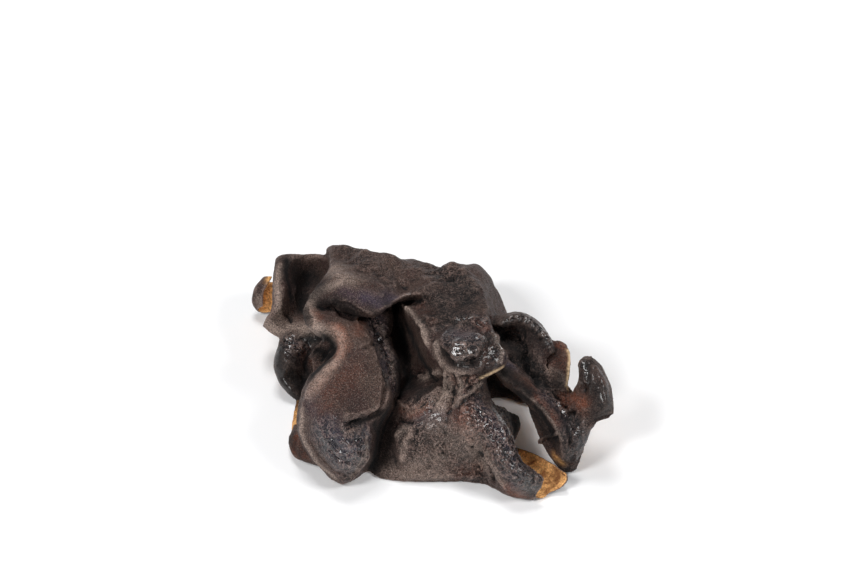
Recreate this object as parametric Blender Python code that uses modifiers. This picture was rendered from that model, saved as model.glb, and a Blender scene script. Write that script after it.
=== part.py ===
"""Dried wood ear mushroom: one ear, a leathery sheet that has shrunk into folds, lobes and curls.

The ear is one grown piece, so it is one solid. Its dark, smooth side is outermost on nearly every
fold, and its felted side is inside, below and on a few turned edges. It is modelled as sheets of one
thickness: a draped main sheet and smaller lobes, each a net of hand-set stations that a smooth
surface runs through, thickened, and fused where their roots sink into each other.

Stations are in millimetres. A seen station is (across, up, height): across and up are measured in a
working view that looks 45 degrees down on the ear from the front, and height is above the table. A
placed station is (x, back, height). The script turns both into metres, +Z up.
"""

import math

import bmesh
import bpy
from mathutils import Vector

MM = 0.001
VIEW_TILT = math.radians(45.0)
SHEET_THICKNESS = 1.15 * MM
TABLE_CUT_HEIGHT = 0.45 * MM
TABLE_BLOCK_SIZE = 200.0 * MM
MIDDLE_X = -1.09 * MM
MIDDLE_BACK = 28.5 * MM
LOBE_STEPS = 2

DARK_SKIN_COLOUR = (0.055, 0.036, 0.030, 1.0)
DARK_SKIN_ROUGHNESS = 0.48

# The draped main sheet: rows run from the rear rim to the front rim, and columns from the turned-under
# left edge, over the long tongue, down into the valley, over the body and out to the right edge.
MAIN_SHEET = [
    [(-19.8, 39.6, 4.0), (-22.4, 40.9, 1.2), (-19.2, 40.6, 0.2), (-15.4, 40.4, 1.0), (-11.4, 42.6, 6.0),
     (-7.2, 44.6, 6.5), (-4.2, 42.2, 1.4), (-0.8, 40.2, 0.2), (2.8, 39.2, 1.2), (6.8, 42.6, 4.5),
     (9.2, 44.2, 6.0), (11.6, 42.6, 7.0), (12.8, 40.0, 7.6)],
    [(-20.5, 42.8, 9.0), (-22.6, 44.5, 8.0), (-19.4, 45.3, 9.5), (-15.2, 44.5, 11.5), (-10.4, 45.3, 12.5),
     (-7.2, 46.7, 12.0), (-4.0, 46.7, 11.0), (-1.0, 44.2, 10.5), (2.8, 43.1, 10.5), (6.6, 45.3, 11.5),
     (8.8, 46.0, 12.0), (11.2, 43.5, 11.5), (12.6, 40.3, 10.0)],
    [(-20.0, 46.0, 11.0), (-21.8, 49.4, 15.0), (-18.6, 50.2, 18.0), (-14.6, 49.4, 20.0),
     (-10.0, 47.8, 19.0), (-7.0, 47.0, 17.4), (-4.2, 46.6, 16.8), (-1.4, 46.4, 17.6), (2.2, 46.2, 19.6),
     (6.2, 45.8, 20.4), (8.2, 45.0, 19.6), (10.2, 43.8, 17.5), (11.4, 42.2, 14.0)],
    [(-19.4, 44.0, 15.5), (-20.6, 46.2, 20.0), (-18.0, 46.4, 22.8), (-14.6, 45.2, 24.0),
     (-10.2, 43.4, 21.8), (-7.4, 42.6, 19.2), (-5.0, 42.4, 17.8), (-2.2, 42.2, 18.6), (1.8, 42.2, 20.8),
     (5.8, 42.2, 22.6), (7.8, 41.6, 22.2), (9.4, 40.2, 20.5), (10.2, 38.6, 18.0)],
    [(-21.4, 39.8, 18.0), (-22.8, 42.4, 22.6), (-20.4, 41.0, 24.8), (-16.6, 39.2, 24.4),
     (-12.3, 36.8, 22.2), (-9.4, 38.4, 20.3), (-6.6, 40.0, 19.6), (-3.4, 40.6, 20.5), (0.6, 39.8, 21.5),
     (5.4, 39.8, 22.0), (7.6, 39.4, 22.0), (9.2, 38.4, 21.5), (10.0, 37.0, 19.0)],
    [(-23.6, 35.4, 18.6), (-25.4, 37.6, 23.2), (-22.4, 37.8, 21.2), (-18.0, 37.2, 18.8),
     (-13.0, 36.8, 15.0), (-9.4, 39.4, 9.0), (-6.8, 39.8, 8.0), (-4.4, 39.0, 14.5), (0.0, 38.6, 21.5),
     (5.2, 38.2, 22.8), (7.6, 37.8, 23.0), (9.4, 37.2, 22.5), (10.4, 35.8, 19.5)],
    [(-21.8, 31.8, 19.0), (-24.4, 34.4, 23.0), (-21.4, 34.8, 24.2), (-17.4, 34.0, 22.8),
     (-14.2, 33.6, 19.3), (-10.4, 34.4, 10.5), (-7.4, 35.8, 7.5), (-4.8, 36.8, 19.2), (0.2, 36.6, 21.8),
     (5.2, 36.2, 23.4), (7.8, 36.0, 23.6), (10.0, 35.4, 23.4), (11.2, 33.8, 20.5)],
    [(-17.8, 28.6, 17.0), (-19.4, 31.2, 21.5), (-17.0, 31.8, 23.6), (-14.8, 31.4, 23.0),
     (-12.8, 30.8, 19.8), (-9.0, 31.2, 10.0), (-6.0, 32.2, 7.0), (-2.4, 33.2, 20.2), (1.8, 33.0, 22.4),
     (5.4, 33.0, 24.6), (8.6, 33.0, 23.2), (10.9, 32.8, 24.2), (12.2, 31.2, 21.0)],
    [(-18.0, 25.4, 15.0), (-19.6, 28.2, 19.5), (-17.0, 28.6, 22.3), (-14.2, 28.6, 22.6),
     (-11.4, 28.2, 19.3), (-7.8, 27.8, 9.3), (-4.4, 28.6, 7.0), (-1.2, 29.6, 19.4), (2.2, 29.6, 22.6),
     (5.8, 29.8, 25.0), (9.6, 29.4, 23.2), (12.7, 29.4, 24.2), (13.8, 27.8, 21.4)],
    [(-20.0, 23.6, 13.6), (-22.0, 26.2, 18.0), (-18.6, 26.4, 21.3), (-14.8, 26.6, 22.0),
     (-10.8, 26.2, 18.8), (-7.4, 26.0, 8.9), (-4.4, 26.8, 7.0), (-0.4, 27.0, 16.5), (2.2, 26.8, 20.6),
     (5.4, 26.6, 22.8), (8.4, 26.0, 22.2), (12.0, 26.6, 22.0), (13.8, 26.8, 20.4)],
    [(-21.4, 22.2, 12.6), (-23.4, 24.8, 17.0), (-19.4, 24.8, 20.6), (-15.0, 25.2, 21.5),
     (-10.5, 24.8, 18.3), (-7.1, 24.8, 8.6), (-4.4, 25.8, 6.6), (-0.4, 25.6, 12.0), (1.8, 25.2, 18.4),
     (5.2, 25.0, 20.6), (7.4, 24.6, 20.2), (9.0, 24.4, 19.0), (10.4, 24.6, 16.0)],
    [(-22.8, 20.8, 11.5), (-24.6, 23.6, 16.0), (-20.2, 23.4, 19.8), (-15.2, 23.8, 21.0),
     (-10.2, 23.4, 17.8), (-6.8, 23.4, 8.3), (-5.2, 23.0, 5.0), (-0.8, 23.6, 9.0), (2.6, 22.8, 16.6),
     (5.2, 22.4, 18.4), (7.2, 22.4, 18.0), (8.8, 22.6, 16.6), (10.0, 22.8, 12.6)],
    [(-24.6, 14.6, 7.5), (-26.6, 17.6, 11.5), (-22.0, 17.4, 15.8), (-15.8, 17.8, 17.8),
     (-9.6, 18.8, 15.3), (-8.6, 18.2, 5.2), (-6.8, 18.6, 8.2), (-2.4, 20.0, 13.0), (2.4, 20.4, 15.2),
     (5.8, 20.2, 16.6), (7.7, 20.0, 16.2), (9.8, 19.6, 15.0), (11.4, 18.6, 11.4)],
    [(-24.4, 10.6, 4.5), (-26.4, 13.0, 8.0), (-22.0, 12.6, 12.3), (-17.2, 13.0, 14.0),
     (-13.0, 13.8, 11.5), (-11.0, 13.4, 3.6), (-8.7, 14.0, 4.8), (-5.4, 14.4, 9.4), (1.4, 15.0, 11.8),
     (6.6, 15.0, 13.8), (9.4, 14.4, 13.3), (12.6, 13.8, 12.6), (15.0, 12.6, 9.5)],
    [(-22.0, 8.4, 2.2), (-24.4, 8.8, 4.6), (-20.8, 8.2, 8.2), (-17.2, 8.2, 9.6), (-13.6, 8.6, 7.2),
     (-11.7, 8.8, 2.4), (-9.2, 9.2, 3.4), (-5.8, 9.4, 6.6), (1.2, 9.6, 7.4), (6.2, 9.0, 7.6),
     (9.2, 8.2, 6.0), (13.0, 8.4, 10.0), (17.2, 7.6, 8.0)],
    [(-19.6, 7.2, 1.2), (-22.0, 6.6, 2.8), (-19.8, 5.8, 4.8), (-17.4, 5.4, 5.4), (-14.8, 6.2, 4.2),
     (-13.0, 6.6, 1.8), (-9.8, 6.0, 2.2), (-5.2, 6.0, 3.0), (0.8, 6.0, 3.6), (6.6, 5.6, 3.4),
     (10.0, 4.8, 2.6), (15.6, 4.2, 7.0), (21.2, 4.4, 6.0)],
    [(-18.2, 6.2, 1.0), (-20.6, 4.8, 1.4), (-19.4, 3.6, 1.6), (-18.2, 3.2, 1.6), (-16.0, 4.0, 1.4),
     (-13.4, 5.4, 0.8), (-10.6, 4.0, 0.6), (-5.8, 3.6, 0.6), (0.4, 3.6, 0.6), (6.8, 3.4, 0.6),
     (11.2, 2.6, 0.6), (15.2, 0.8, 0.8), (19.4, 0.0, 1.2)],
]

# The channel at the left: a hollow between an outer ridge and the tongue, ending in a flared lip.
LEFT_CHANNEL = [
    [(-30.0, 45.8, 8.0), (-30.4, 47.2, 11.5), (-28.6, 47.4, 12.5), (-26.0, 47.0, 12.0), (-23.0, 47.0, 13.0),
     (-18.8, 47.0, 16.0)],
    [(-30.8, 44.8, 9.0), (-31.8, 47.4, 14.5), (-29.6, 48.0, 16.0), (-26.6, 48.0, 14.0), (-23.4, 48.0, 15.0),
     (-18.8, 47.0, 18.5)],
    [(-31.6, 41.8, 10.0), (-32.4, 45.0, 15.5), (-30.6, 45.2, 15.6), (-27.8, 44.6, 10.0), (-23.4, 44.2, 10.5),
     (-19.0, 44.2, 17.0)],
    [(-32.0, 38.6, 9.5), (-32.4, 41.2, 15.0), (-30.6, 41.0, 14.6), (-28.0, 40.6, 8.0), (-24.2, 40.2, 8.5),
     (-20.4, 40.4, 17.0)],
    [(-32.4, 36.0, 8.0), (-32.6, 37.6, 13.2), (-30.6, 37.6, 12.4), (-28.0, 37.0, 7.4), (-24.6, 36.8, 8.5),
     (-21.0, 37.4, 16.0)],
    [(-33.4, 34.6, 6.5), (-33.8, 35.4, 11.0), (-31.4, 35.2, 10.4), (-28.4, 34.8, 8.8), (-24.8, 34.6, 10.0),
     (-21.0, 34.6, 15.0)],
    [(-34.0, 33.4, 5.0), (-34.8, 34.0, 8.4), (-31.8, 31.8, 8.4), (-29.0, 32.0, 9.0), (-26.0, 32.8, 9.8),
     (-21.4, 32.8, 13.0)],
]

# The round lobe below that lip.
LEFT_LOBE = [
    [(-29.6, 32.4, 6.5), (-30.2, 33.4, 9.5), (-28.0, 33.4, 10.4), (-25.0, 33.0, 10.2), (-21.8, 32.6, 11.0)],
    [(-31.0, 28.6, 4.6), (-31.2, 29.6, 8.2), (-29.2, 29.8, 9.6), (-26.2, 29.6, 7.6), (-22.4, 29.0, 7.0)],
    [(-31.6, 25.6, 3.4), (-31.8, 26.4, 6.6), (-29.4, 26.6, 7.6), (-26.6, 26.2, 4.4), (-22.8, 25.6, 4.8)],
    [(-30.6, 23.0, 2.2), (-31.0, 23.6, 4.6), (-29.0, 23.6, 4.8), (-26.6, 23.2, 2.2), (-23.0, 22.8, 3.0)],
    [(-29.0, 21.0, 1.2), (-29.4, 21.4, 3.0), (-27.8, 21.2, 3.2), (-26.0, 20.8, 1.8), (-23.0, 20.6, 2.2)],
    [(-27.6, 19.8, 0.7), (-27.8, 19.8, 1.8), (-26.8, 19.4, 2.2), (-25.2, 19.2, 1.8), (-22.6, 19.0, 2.2)],
]

# The sheet that runs under the tongue and ties the left lobe to it (placed stations).
UNDER_TONGUE = [
    [(-25.5, 39.0, 8.0), (-21.0, 37.0, 10.0), (-17.5, 34.0, 16.5), (-15.5, 31.5, 20.0)],
    [(-25.0, 34.5, 9.0), (-20.5, 31.5, 11.0), (-17.0, 27.5, 18.5), (-15.0, 26.0, 22.0)],
    [(-24.5, 30.0, 8.0), (-20.5, 27.0, 9.5), (-16.5, 23.5, 16.5), (-14.5, 22.0, 21.5)],
    [(-24.5, 26.0, 6.0), (-21.5, 23.0, 7.5), (-18.0, 19.5, 14.5), (-15.5, 18.0, 20.0)],
    [(-25.0, 23.0, 3.0), (-23.0, 18.5, 4.5), (-20.5, 14.5, 10.0), (-18.0, 12.5, 16.0)],
    [(-25.0, 20.0, 1.0), (-24.0, 15.0, 2.0), (-22.0, 10.5, 6.0), (-20.0, 8.5, 11.5)],
]

# A felted strip and a small lobe that show past the tongue's lower left edge.
LOWER_LEFT_FELT = [
    [(-27.6, 20.2, 1.8), (-25.8, 20.0, 2.4), (-23.0, 19.6, 3.6)],
    [(-28.4, 16.4, 1.2), (-26.4, 16.4, 1.8), (-23.4, 16.0, 3.6)],
    [(-28.6, 13.4, 1.0), (-26.8, 13.0, 2.0), (-23.6, 12.4, 3.6)],
    [(-28.2, 10.8, 1.2), (-26.4, 10.4, 2.4), (-23.4, 10.2, 3.4)],
]
LOWER_LEFT_LOBE = [
    [(-28.2, 14.4, 1.8), (-26.4, 13.8, 3.6), (-23.6, 13.4, 5.2)],
    [(-29.0, 11.4, 2.4), (-27.0, 11.4, 4.8), (-24.0, 10.8, 4.8)],
    [(-28.2, 9.0, 1.8), (-26.0, 8.4, 3.2), (-22.6, 7.6, 3.0)],
    [(-27.0, 8.0, 0.7), (-24.6, 7.2, 0.7), (-21.0, 6.0, 0.9)],
]

# The small rolled edge behind the left channel, felt side to the front.
REAR_LEFT_ROLL = [
    [(-29.6, 43.4, 10.4), (-32.4, 43.0, 7.0), (-34.4, 43.2, 7.0), (-34.8, 44.2, 9.4), (-33.2, 44.2, 10.6)],
    [(-29.6, 40.8, 9.6), (-33.0, 40.2, 4.6), (-36.0, 40.4, 4.4), (-36.6, 41.8, 7.2), (-34.6, 42.0, 8.8)],
    [(-29.6, 38.6, 9.0), (-33.0, 38.4, 3.2), (-36.4, 38.2, 2.4), (-37.0, 39.4, 4.8), (-35.2, 40.0, 6.6)],
    [(-29.6, 37.0, 8.6), (-33.0, 36.8, 2.4), (-35.4, 36.8, 1.6), (-36.2, 37.4, 3.0), (-35.2, 38.0, 4.6)],
]

# The lower wall of the rolled cornet at the front right, felt side up.
CORNET_LIP = [
    [(10.8, 2.8, 1.2), (15.4, 0.8, 1.4), (19.0, 0.3, 1.5), (21.2, 1.0, 0.9)],
    [(13.0, 5.4, 0.7), (17.4, 3.8, 0.7), (22.0, 2.6, 0.9), (24.2, 2.0, 1.8)],
    [(14.6, 8.4, 0.8), (19.4, 6.4, 1.0), (23.4, 5.0, 1.5), (25.8, 3.8, 3.5)],
    [(15.8, 10.2, 2.0), (20.0, 8.8, 3.0), (23.6, 6.8, 3.5), (25.6, 5.2, 4.8)],
]

# The ribbon at the right: a hanging blade, a fold with a thin edge and a long hollow.
RIGHT_RIBBON = [
    [(11.6, 25.4, 13.5), (12.4, 26.2, 18.4), (13.8, 27.2, 18.0), (15.4, 28.4, 16.6), (17.0, 29.6, 16.0)],
    [(14.0, 22.4, 12.4), (15.0, 23.6, 17.4), (16.6, 24.8, 16.8), (18.2, 26.0, 15.0), (20.0, 27.2, 15.2)],
    [(18.2, 19.2, 10.4), (18.4, 20.6, 16.0), (20.0, 22.0, 15.4), (22.0, 23.4, 13.6), (23.6, 24.6, 14.4)],
    [(19.4, 16.0, 7.4), (22.0, 17.2, 13.8), (23.6, 18.6, 13.4), (25.4, 20.2, 12.2), (27.2, 21.4, 13.2)],
    [(20.4, 13.0, 5.0), (24.6, 13.2, 10.4), (26.0, 14.2, 10.4), (27.4, 15.4, 10.0), (28.8, 16.4, 11.0)],
    [(22.2, 9.4, 2.6), (25.6, 8.6, 5.4), (26.4, 9.0, 5.6), (27.2, 9.4, 5.6), (28.0, 9.8, 5.8)],
    [(24.6, 6.0, 0.3), (25.6, 5.4, 0.3), (26.2, 5.2, 0.3), (26.8, 5.2, 0.3), (27.4, 5.6, 0.3)],
]

# The crested lobe above that ribbon, with a thick rolled rim and a hollow inside it.
CREST_LOBE = [
    [(10.0, 35.4, 13.0), (13.4, 36.2, 13.5), (17.0, 36.2, 13.5), (20.6, 34.6, 13.5), (23.0, 31.4, 13.5),
     (24.2, 28.4, 13.0)],
    [(10.0, 34.6, 18.4), (13.8, 35.4, 20.6), (16.6, 36.2, 21.6), (19.8, 34.8, 21.8), (22.3, 32.0, 21.0),
     (23.6, 29.0, 19.2)],
    [(10.4, 33.2, 17.0), (13.8, 33.8, 18.6), (16.4, 34.2, 19.4), (19.0, 33.0, 20.4), (21.0, 30.8, 20.2),
     (22.4, 28.2, 18.8)],
    [(10.8, 31.4, 16.6), (13.8, 31.8, 15.8), (16.4, 32.0, 15.8), (18.8, 30.6, 18.4), (20.6, 28.6, 19.0),
     (22.2, 26.4, 18.0)],
    [(11.6, 29.4, 18.6), (14.2, 29.4, 18.0), (16.6, 29.0, 16.8), (18.8, 27.8, 15.8), (20.8, 26.4, 17.4),
     (22.8, 24.8, 17.0)],
    [(12.4, 27.2, 17.4), (14.8, 27.0, 16.8), (17.2, 26.4, 15.0), (19.2, 25.2, 14.0), (21.4, 23.8, 15.2),
     (23.6, 22.8, 15.2)],
    [(13.2, 25.6, 14.5), (15.6, 25.0, 14.4), (18.2, 24.0, 13.4), (20.4, 22.8, 13.0), (22.8, 21.8, 13.2),
     (24.8, 21.2, 12.8)],
]

# The flap beside the crest, its cut edge turned to the right.
EDGE_FLAP = [
    [(20.6, 30.6, 15.8), (24.4, 31.4, 18.6), (26.2, 30.4, 18.6)],
    [(20.2, 28.4, 15.6), (24.6, 29.2, 18.6), (26.7, 28.8, 18.4)],
    [(20.4, 26.2, 15.4), (24.6, 26.4, 17.8), (26.7, 26.0, 17.4)],
    [(21.6, 24.2, 15.0), (24.6, 24.0, 16.4), (26.4, 23.4, 16.0)],
    [(23.0, 22.2, 14.0), (25.0, 21.8, 14.6), (26.0, 21.6, 14.4)],
]

# The outer lobe, rolled over at the top and drawn out to a foot.
OUTER_LOBE = [
    [(28.7, 26.6, 16.5), (29.2, 27.7, 18.6), (30.2, 28.1, 19.4), (31.5, 27.4, 18.6), (32.5, 26.2, 16.6)],
    [(28.7, 25.2, 17.0), (29.3, 26.2, 20.2), (30.7, 26.0, 20.8), (32.4, 25.2, 19.4), (33.6, 24.4, 17.2)],
    [(28.5, 23.2, 15.6), (29.4, 23.8, 19.0), (30.9, 23.6, 19.8), (33.0, 22.8, 18.8), (34.5, 22.2, 16.8)],
    [(27.4, 21.4, 13.6), (29.1, 21.6, 16.2), (31.0, 21.0, 17.4), (33.2, 20.2, 17.4), (34.9, 19.4, 15.6)],
    [(26.4, 19.4, 12.2), (28.6, 19.4, 14.2), (30.8, 18.8, 15.6), (33.0, 17.8, 15.6), (34.7, 16.8, 14.0)],
    [(26.4, 17.0, 10.8), (28.0, 16.8, 12.4), (29.6, 16.4, 13.4), (31.0, 15.9, 13.0), (32.0, 15.8, 11.6)],
    [(26.2, 13.6, 8.6), (27.4, 13.4, 10.2), (28.6, 13.2, 10.8), (29.6, 13.0, 10.4), (30.3, 12.8, 9.2)],
    [(26.0, 10.0, 5.2), (26.9, 9.8, 6.4), (27.8, 9.4, 6.6), (28.5, 9.2, 6.2), (29.1, 9.0, 5.2)],
    [(25.6, 6.2, 0.8), (26.1, 5.8, 1.0), (26.7, 5.4, 1.0), (27.3, 5.4, 0.9), (27.8, 5.8, 0.7)],
]

# The shining strip under the tongue's right edge.
VALLEY_STRIP = [
    [(-14.6, 37.4, 14.0), (-11.5, 37.8, 14.0), (-8.8, 38.2, 12.0)],
    [(-13.8, 34.6, 15.4), (-10.8, 35.0, 15.0), (-8.4, 35.2, 12.6)],
    [(-13.2, 31.8, 16.2), (-10.6, 32.0, 15.6), (-8.6, 32.0, 13.0)],
    [(-12.4, 29.6, 16.2), (-9.8, 29.8, 14.8), (-8.4, 30.0, 12.4)],
    [(-11.6, 27.0, 15.8), (-8.8, 27.0, 14.8), (-7.4, 27.2, 12.0)],
    [(-11.2, 23.4, 14.8), (-8.2, 23.4, 13.6), (-7.0, 23.6, 11.0)],
    [(-10.8, 20.4, 13.0), (-8.4, 20.4, 11.6), (-7.4, 20.6, 9.2)],
    [(-11.2, 18.8, 11.4), (-9.6, 18.8, 10.0), (-8.8, 19.0, 8.2)],
]

# The wall behind the see-through gap (placed stations).
GAP_WALL = [
    [(7.0, 30.5, 21.0), (12.5, 28.5, 15.5), (18.5, 25.5, 13.0)],
    [(7.5, 28.5, 12.0), (13.0, 29.8, 10.5), (19.0, 26.5, 9.0)],
    [(8.0, 27.0, 5.5), (13.5, 28.2, 5.0), (19.5, 25.5, 5.0)],
    [(9.0, 26.5, 0.3), (14.5, 27.2, 0.3), (20.5, 24.5, 0.3)],
]

# The right flank, from the end of the rear skirt to the wall of the gap (placed stations).
RIGHT_FLANK = [
    [(10.5, 45.5, 16.0), (12.6, 46.5, 11.5), (13.6, 46.0, 7.5), (13.0, 45.0, 4.5)],
    [(10.0, 37.5, 18.5), (12.6, 37.5, 12.0), (15.0, 38.0, 8.0), (15.6, 38.5, 3.0)],
    [(11.0, 31.0, 19.0), (13.4, 32.0, 13.5), (16.0, 33.0, 8.0), (17.0, 34.0, 1.5)],
    [(12.6, 27.0, 17.5), (15.0, 27.6, 13.5), (17.4, 28.2, 7.5), (18.4, 28.4, 0.3)],
]

# A small lobe that looks out from behind the front tongue, into the gap.
GAP_LOBE = [
    [(9.8, 19.8, 14.4), (13.4, 17.8, 9.5), (16.6, 16.4, 6.5)],
    [(11.8, 15.4, 12.4), (15.2, 14.4, 7.0), (17.0, 14.2, 5.0)],
    [(13.8, 12.0, 10.6), (14.8, 11.2, 5.0), (16.0, 11.4, 3.0)],
]


def seen(station):
    """The place of an (across, up, height) station, in metres."""
    across, up, height = station
    back = (up - height * math.cos(VIEW_TILT)) / math.sin(VIEW_TILT)
    return placed((across, back, height))


def placed(station):
    """The place of an (x, back, height) station, in metres, with the ear centred over the origin."""
    return Vector(station) * MM - Vector((MIDDLE_X, MIDDLE_BACK, TABLE_CUT_HEIGHT))


def curve_through(points, steps):
    """Points on the Catmull-Rom curve through a list of points, `steps` for each span."""
    ends = [2 * points[0] - points[1], *points, 2 * points[-1] - points[-2]]
    line = []
    for before, start, stop, after in zip(ends, ends[1:], ends[2:], ends[3:]):
        for step in range(steps):
            t = step / steps
            line.append(
                0.5 * (2 * start + (stop - before) * t
                       + (2 * before - 5 * start + 4 * stop - after) * t * t
                       + (3 * start - before - 3 * stop + after) * t * t * t)
            )
    return [*line, points[-1]]


def surface_through(net, steps):
    """The net made finer both ways, still passing through its stations."""
    rows = [curve_through(row, steps) for row in net]
    columns = [curve_through(list(column), steps) for column in zip(*rows)]
    return list(zip(*columns))


def object_from(bm, name):
    """A smooth-shaded object with the mesh that was built."""
    mesh = bpy.data.meshes.new(name)
    bm.to_mesh(mesh)
    bm.free()
    mesh.shade_smooth()
    return bpy.data.objects.new(name, mesh)


def thick_sheet(name, net, place, steps=LOBE_STEPS):
    """A closed sheet of the ear's thickness, with the net in its middle."""
    rows = surface_through([[place(station) for station in row] for row in net], steps)
    bm = bmesh.new()
    bmesh.ops.create_grid(bm, x_segments=len(rows[0]) - 1, y_segments=len(rows) - 1, size=1.0)
    stations = [point for row in reversed(rows) for point in row]
    for vert, point in zip(bm.verts, stations):
        vert.co = point
    sheet = object_from(bm, name)
    solidify = sheet.modifiers.new("thickness", "SOLIDIFY")
    solidify.thickness = SHEET_THICKNESS
    solidify.offset = 0.0
    return sheet


def table_block():
    """The block below the table top; what the ear would press into it is cut flat."""
    bm = bmesh.new()
    bmesh.ops.create_cube(bm, size=TABLE_BLOCK_SIZE)
    bmesh.ops.translate(bm, verts=bm.verts, vec=(0.0, 0.0, -TABLE_BLOCK_SIZE / 2))
    return object_from(bm, "table_block")


def dark_skin():
    """The ear's dark, leathery skin."""
    material = bpy.data.materials.new("dark_skin")
    material.use_nodes = True
    shader = material.node_tree.nodes["Principled BSDF"]
    shader.inputs["Base Color"].default_value = DARK_SKIN_COLOUR
    shader.inputs["Roughness"].default_value = DARK_SKIN_ROUGHNESS
    return material


def collection_named(name, hidden=False):
    """A new collection, linked to the scene."""
    collection = bpy.data.collections.new(name)
    collection.hide_render = hidden
    bpy.context.scene.collection.children.link(collection)
    return collection


def add_boolean(target, operation, name):
    """An exact Boolean on the target, with no operand yet."""
    boolean = target.modifiers.new(name, "BOOLEAN")
    boolean.operation = operation
    boolean.solver = "EXACT"
    return boolean


def bake_modifiers(target):
    """Keeps the target's shape as its modifiers leave it, and drops them."""
    bpy.context.view_layer.update()
    graph = bpy.context.evaluated_depsgraph_get()
    shape = bpy.data.meshes.new_from_object(target.evaluated_get(graph))
    target.modifiers.clear()
    target.data = shape


def build():
    """Builds the ear as one object in its own collection."""
    for leftover in list(bpy.data.objects):
        bpy.data.objects.remove(leftover)
    ear_parts = collection_named("dried_wood_ear")
    cutters = collection_named("cutters", hidden=True)
    lobes = collection_named("lobes")
    ear = thick_sheet("wood_ear", MAIN_SHEET, seen)
    ear.data.materials.append(dark_skin())
    ear_parts.objects.link(ear)
    for name, (net, place) in LOBES.items():
        lobes.objects.link(thick_sheet(name, net, place))
    join = add_boolean(ear, "UNION", "join")
    join.operand_type = "COLLECTION"
    join.collection = lobes
    join.use_self = True
    bake_modifiers(ear)
    for lobe in list(lobes.objects):
        bpy.data.objects.remove(lobe)
    bpy.data.collections.remove(lobes)
    table = table_block()
    table.display_type = "WIRE"
    cutters.objects.link(table)
    add_boolean(ear, "DIFFERENCE", "flat_feet").object = table


LOBES = {
    "left_channel": (LEFT_CHANNEL, seen),
    "left_lobe": (LEFT_LOBE, seen),
    "under_tongue": (UNDER_TONGUE, placed),
    "lower_left_felt": (LOWER_LEFT_FELT, seen),
    "lower_left_lobe": (LOWER_LEFT_LOBE, seen),
    "rear_left_roll": (REAR_LEFT_ROLL, seen),
    "cornet_lip": (CORNET_LIP, seen),
    "right_ribbon": (RIGHT_RIBBON, seen),
    "crest_lobe": (CREST_LOBE, seen),
    "edge_flap": (EDGE_FLAP, seen),
    "outer_lobe": (OUTER_LOBE, seen),
    "valley_strip": (VALLEY_STRIP, seen),
    "gap_wall": (GAP_WALL, placed),
    "right_flank": (RIGHT_FLANK, placed),
    "gap_lobe": (GAP_LOBE, seen),
}


build()
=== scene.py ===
"""Dried wood ear mushroom: one ear, a dark leathery sheet shrunk into folds, lobes and curls.

The ear is one grown piece. Its folds are set by nets of stations, the same as in the solid model; here
they are run finer, rippled as drying leaves them, thickened, fused to one skin, creased and painted.
"""

import logging
import math
from dataclasses import dataclass, field
from enum import Enum

import bmesh
import bpy
import numpy as np
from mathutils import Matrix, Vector, noise
from mathutils.bvhtree import BVHTree
from mathutils.kdtree import KDTree


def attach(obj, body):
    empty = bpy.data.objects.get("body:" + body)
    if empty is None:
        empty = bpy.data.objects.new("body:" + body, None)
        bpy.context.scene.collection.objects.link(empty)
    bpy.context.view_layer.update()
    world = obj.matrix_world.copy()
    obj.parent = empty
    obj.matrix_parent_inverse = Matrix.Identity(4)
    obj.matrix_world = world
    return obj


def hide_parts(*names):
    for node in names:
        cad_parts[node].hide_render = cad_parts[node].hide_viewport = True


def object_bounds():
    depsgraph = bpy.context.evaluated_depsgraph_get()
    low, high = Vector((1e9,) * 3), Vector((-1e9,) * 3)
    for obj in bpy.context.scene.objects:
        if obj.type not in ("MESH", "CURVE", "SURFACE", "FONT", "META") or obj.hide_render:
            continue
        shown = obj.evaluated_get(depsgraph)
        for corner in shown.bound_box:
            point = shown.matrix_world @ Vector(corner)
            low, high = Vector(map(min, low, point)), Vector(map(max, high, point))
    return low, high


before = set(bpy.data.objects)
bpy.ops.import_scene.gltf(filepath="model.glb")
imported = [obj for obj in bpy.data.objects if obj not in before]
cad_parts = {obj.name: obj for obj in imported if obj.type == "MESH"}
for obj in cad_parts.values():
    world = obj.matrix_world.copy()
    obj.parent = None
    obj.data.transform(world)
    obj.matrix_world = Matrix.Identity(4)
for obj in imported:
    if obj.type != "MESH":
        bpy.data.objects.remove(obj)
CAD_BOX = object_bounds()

Station = tuple[float, float, float]
Net = list[list[Station]]
Point = tuple[float, float]
Stroke = tuple[list[Point], float, float]
Colour = tuple[float, float, float]
Span = tuple[float, ...]

MM = 0.001

# The working view looks down on the ear from the front; across and up are measured square to it.
VIEW_TILT = math.radians(45.0)
LOOK = Vector((0.0, math.cos(VIEW_TILT), -math.sin(VIEW_TILT)))
RISE = Vector((0.0, math.sin(VIEW_TILT), math.cos(VIEW_TILT)))

# The middle of the stations, and the height at which the table cuts the feet flat, in millimetres.
MIDDLE_X = -1.09
MIDDLE_BACK = 28.5
TABLE_CUT_HEIGHT = 0.45

# Noise times this lies between -1 and 1 nearly everywhere.
NOISE_GAIN = 2.2

# Keeps a division by a distance safe, in metres.
LEAST_DISTANCE = 1e-6

log = logging.getLogger("wood_ear")

# Each net below is rows of stations in millimetres, (across, up, height) but where its comment says placed,
# which is (x, back, height).

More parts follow.
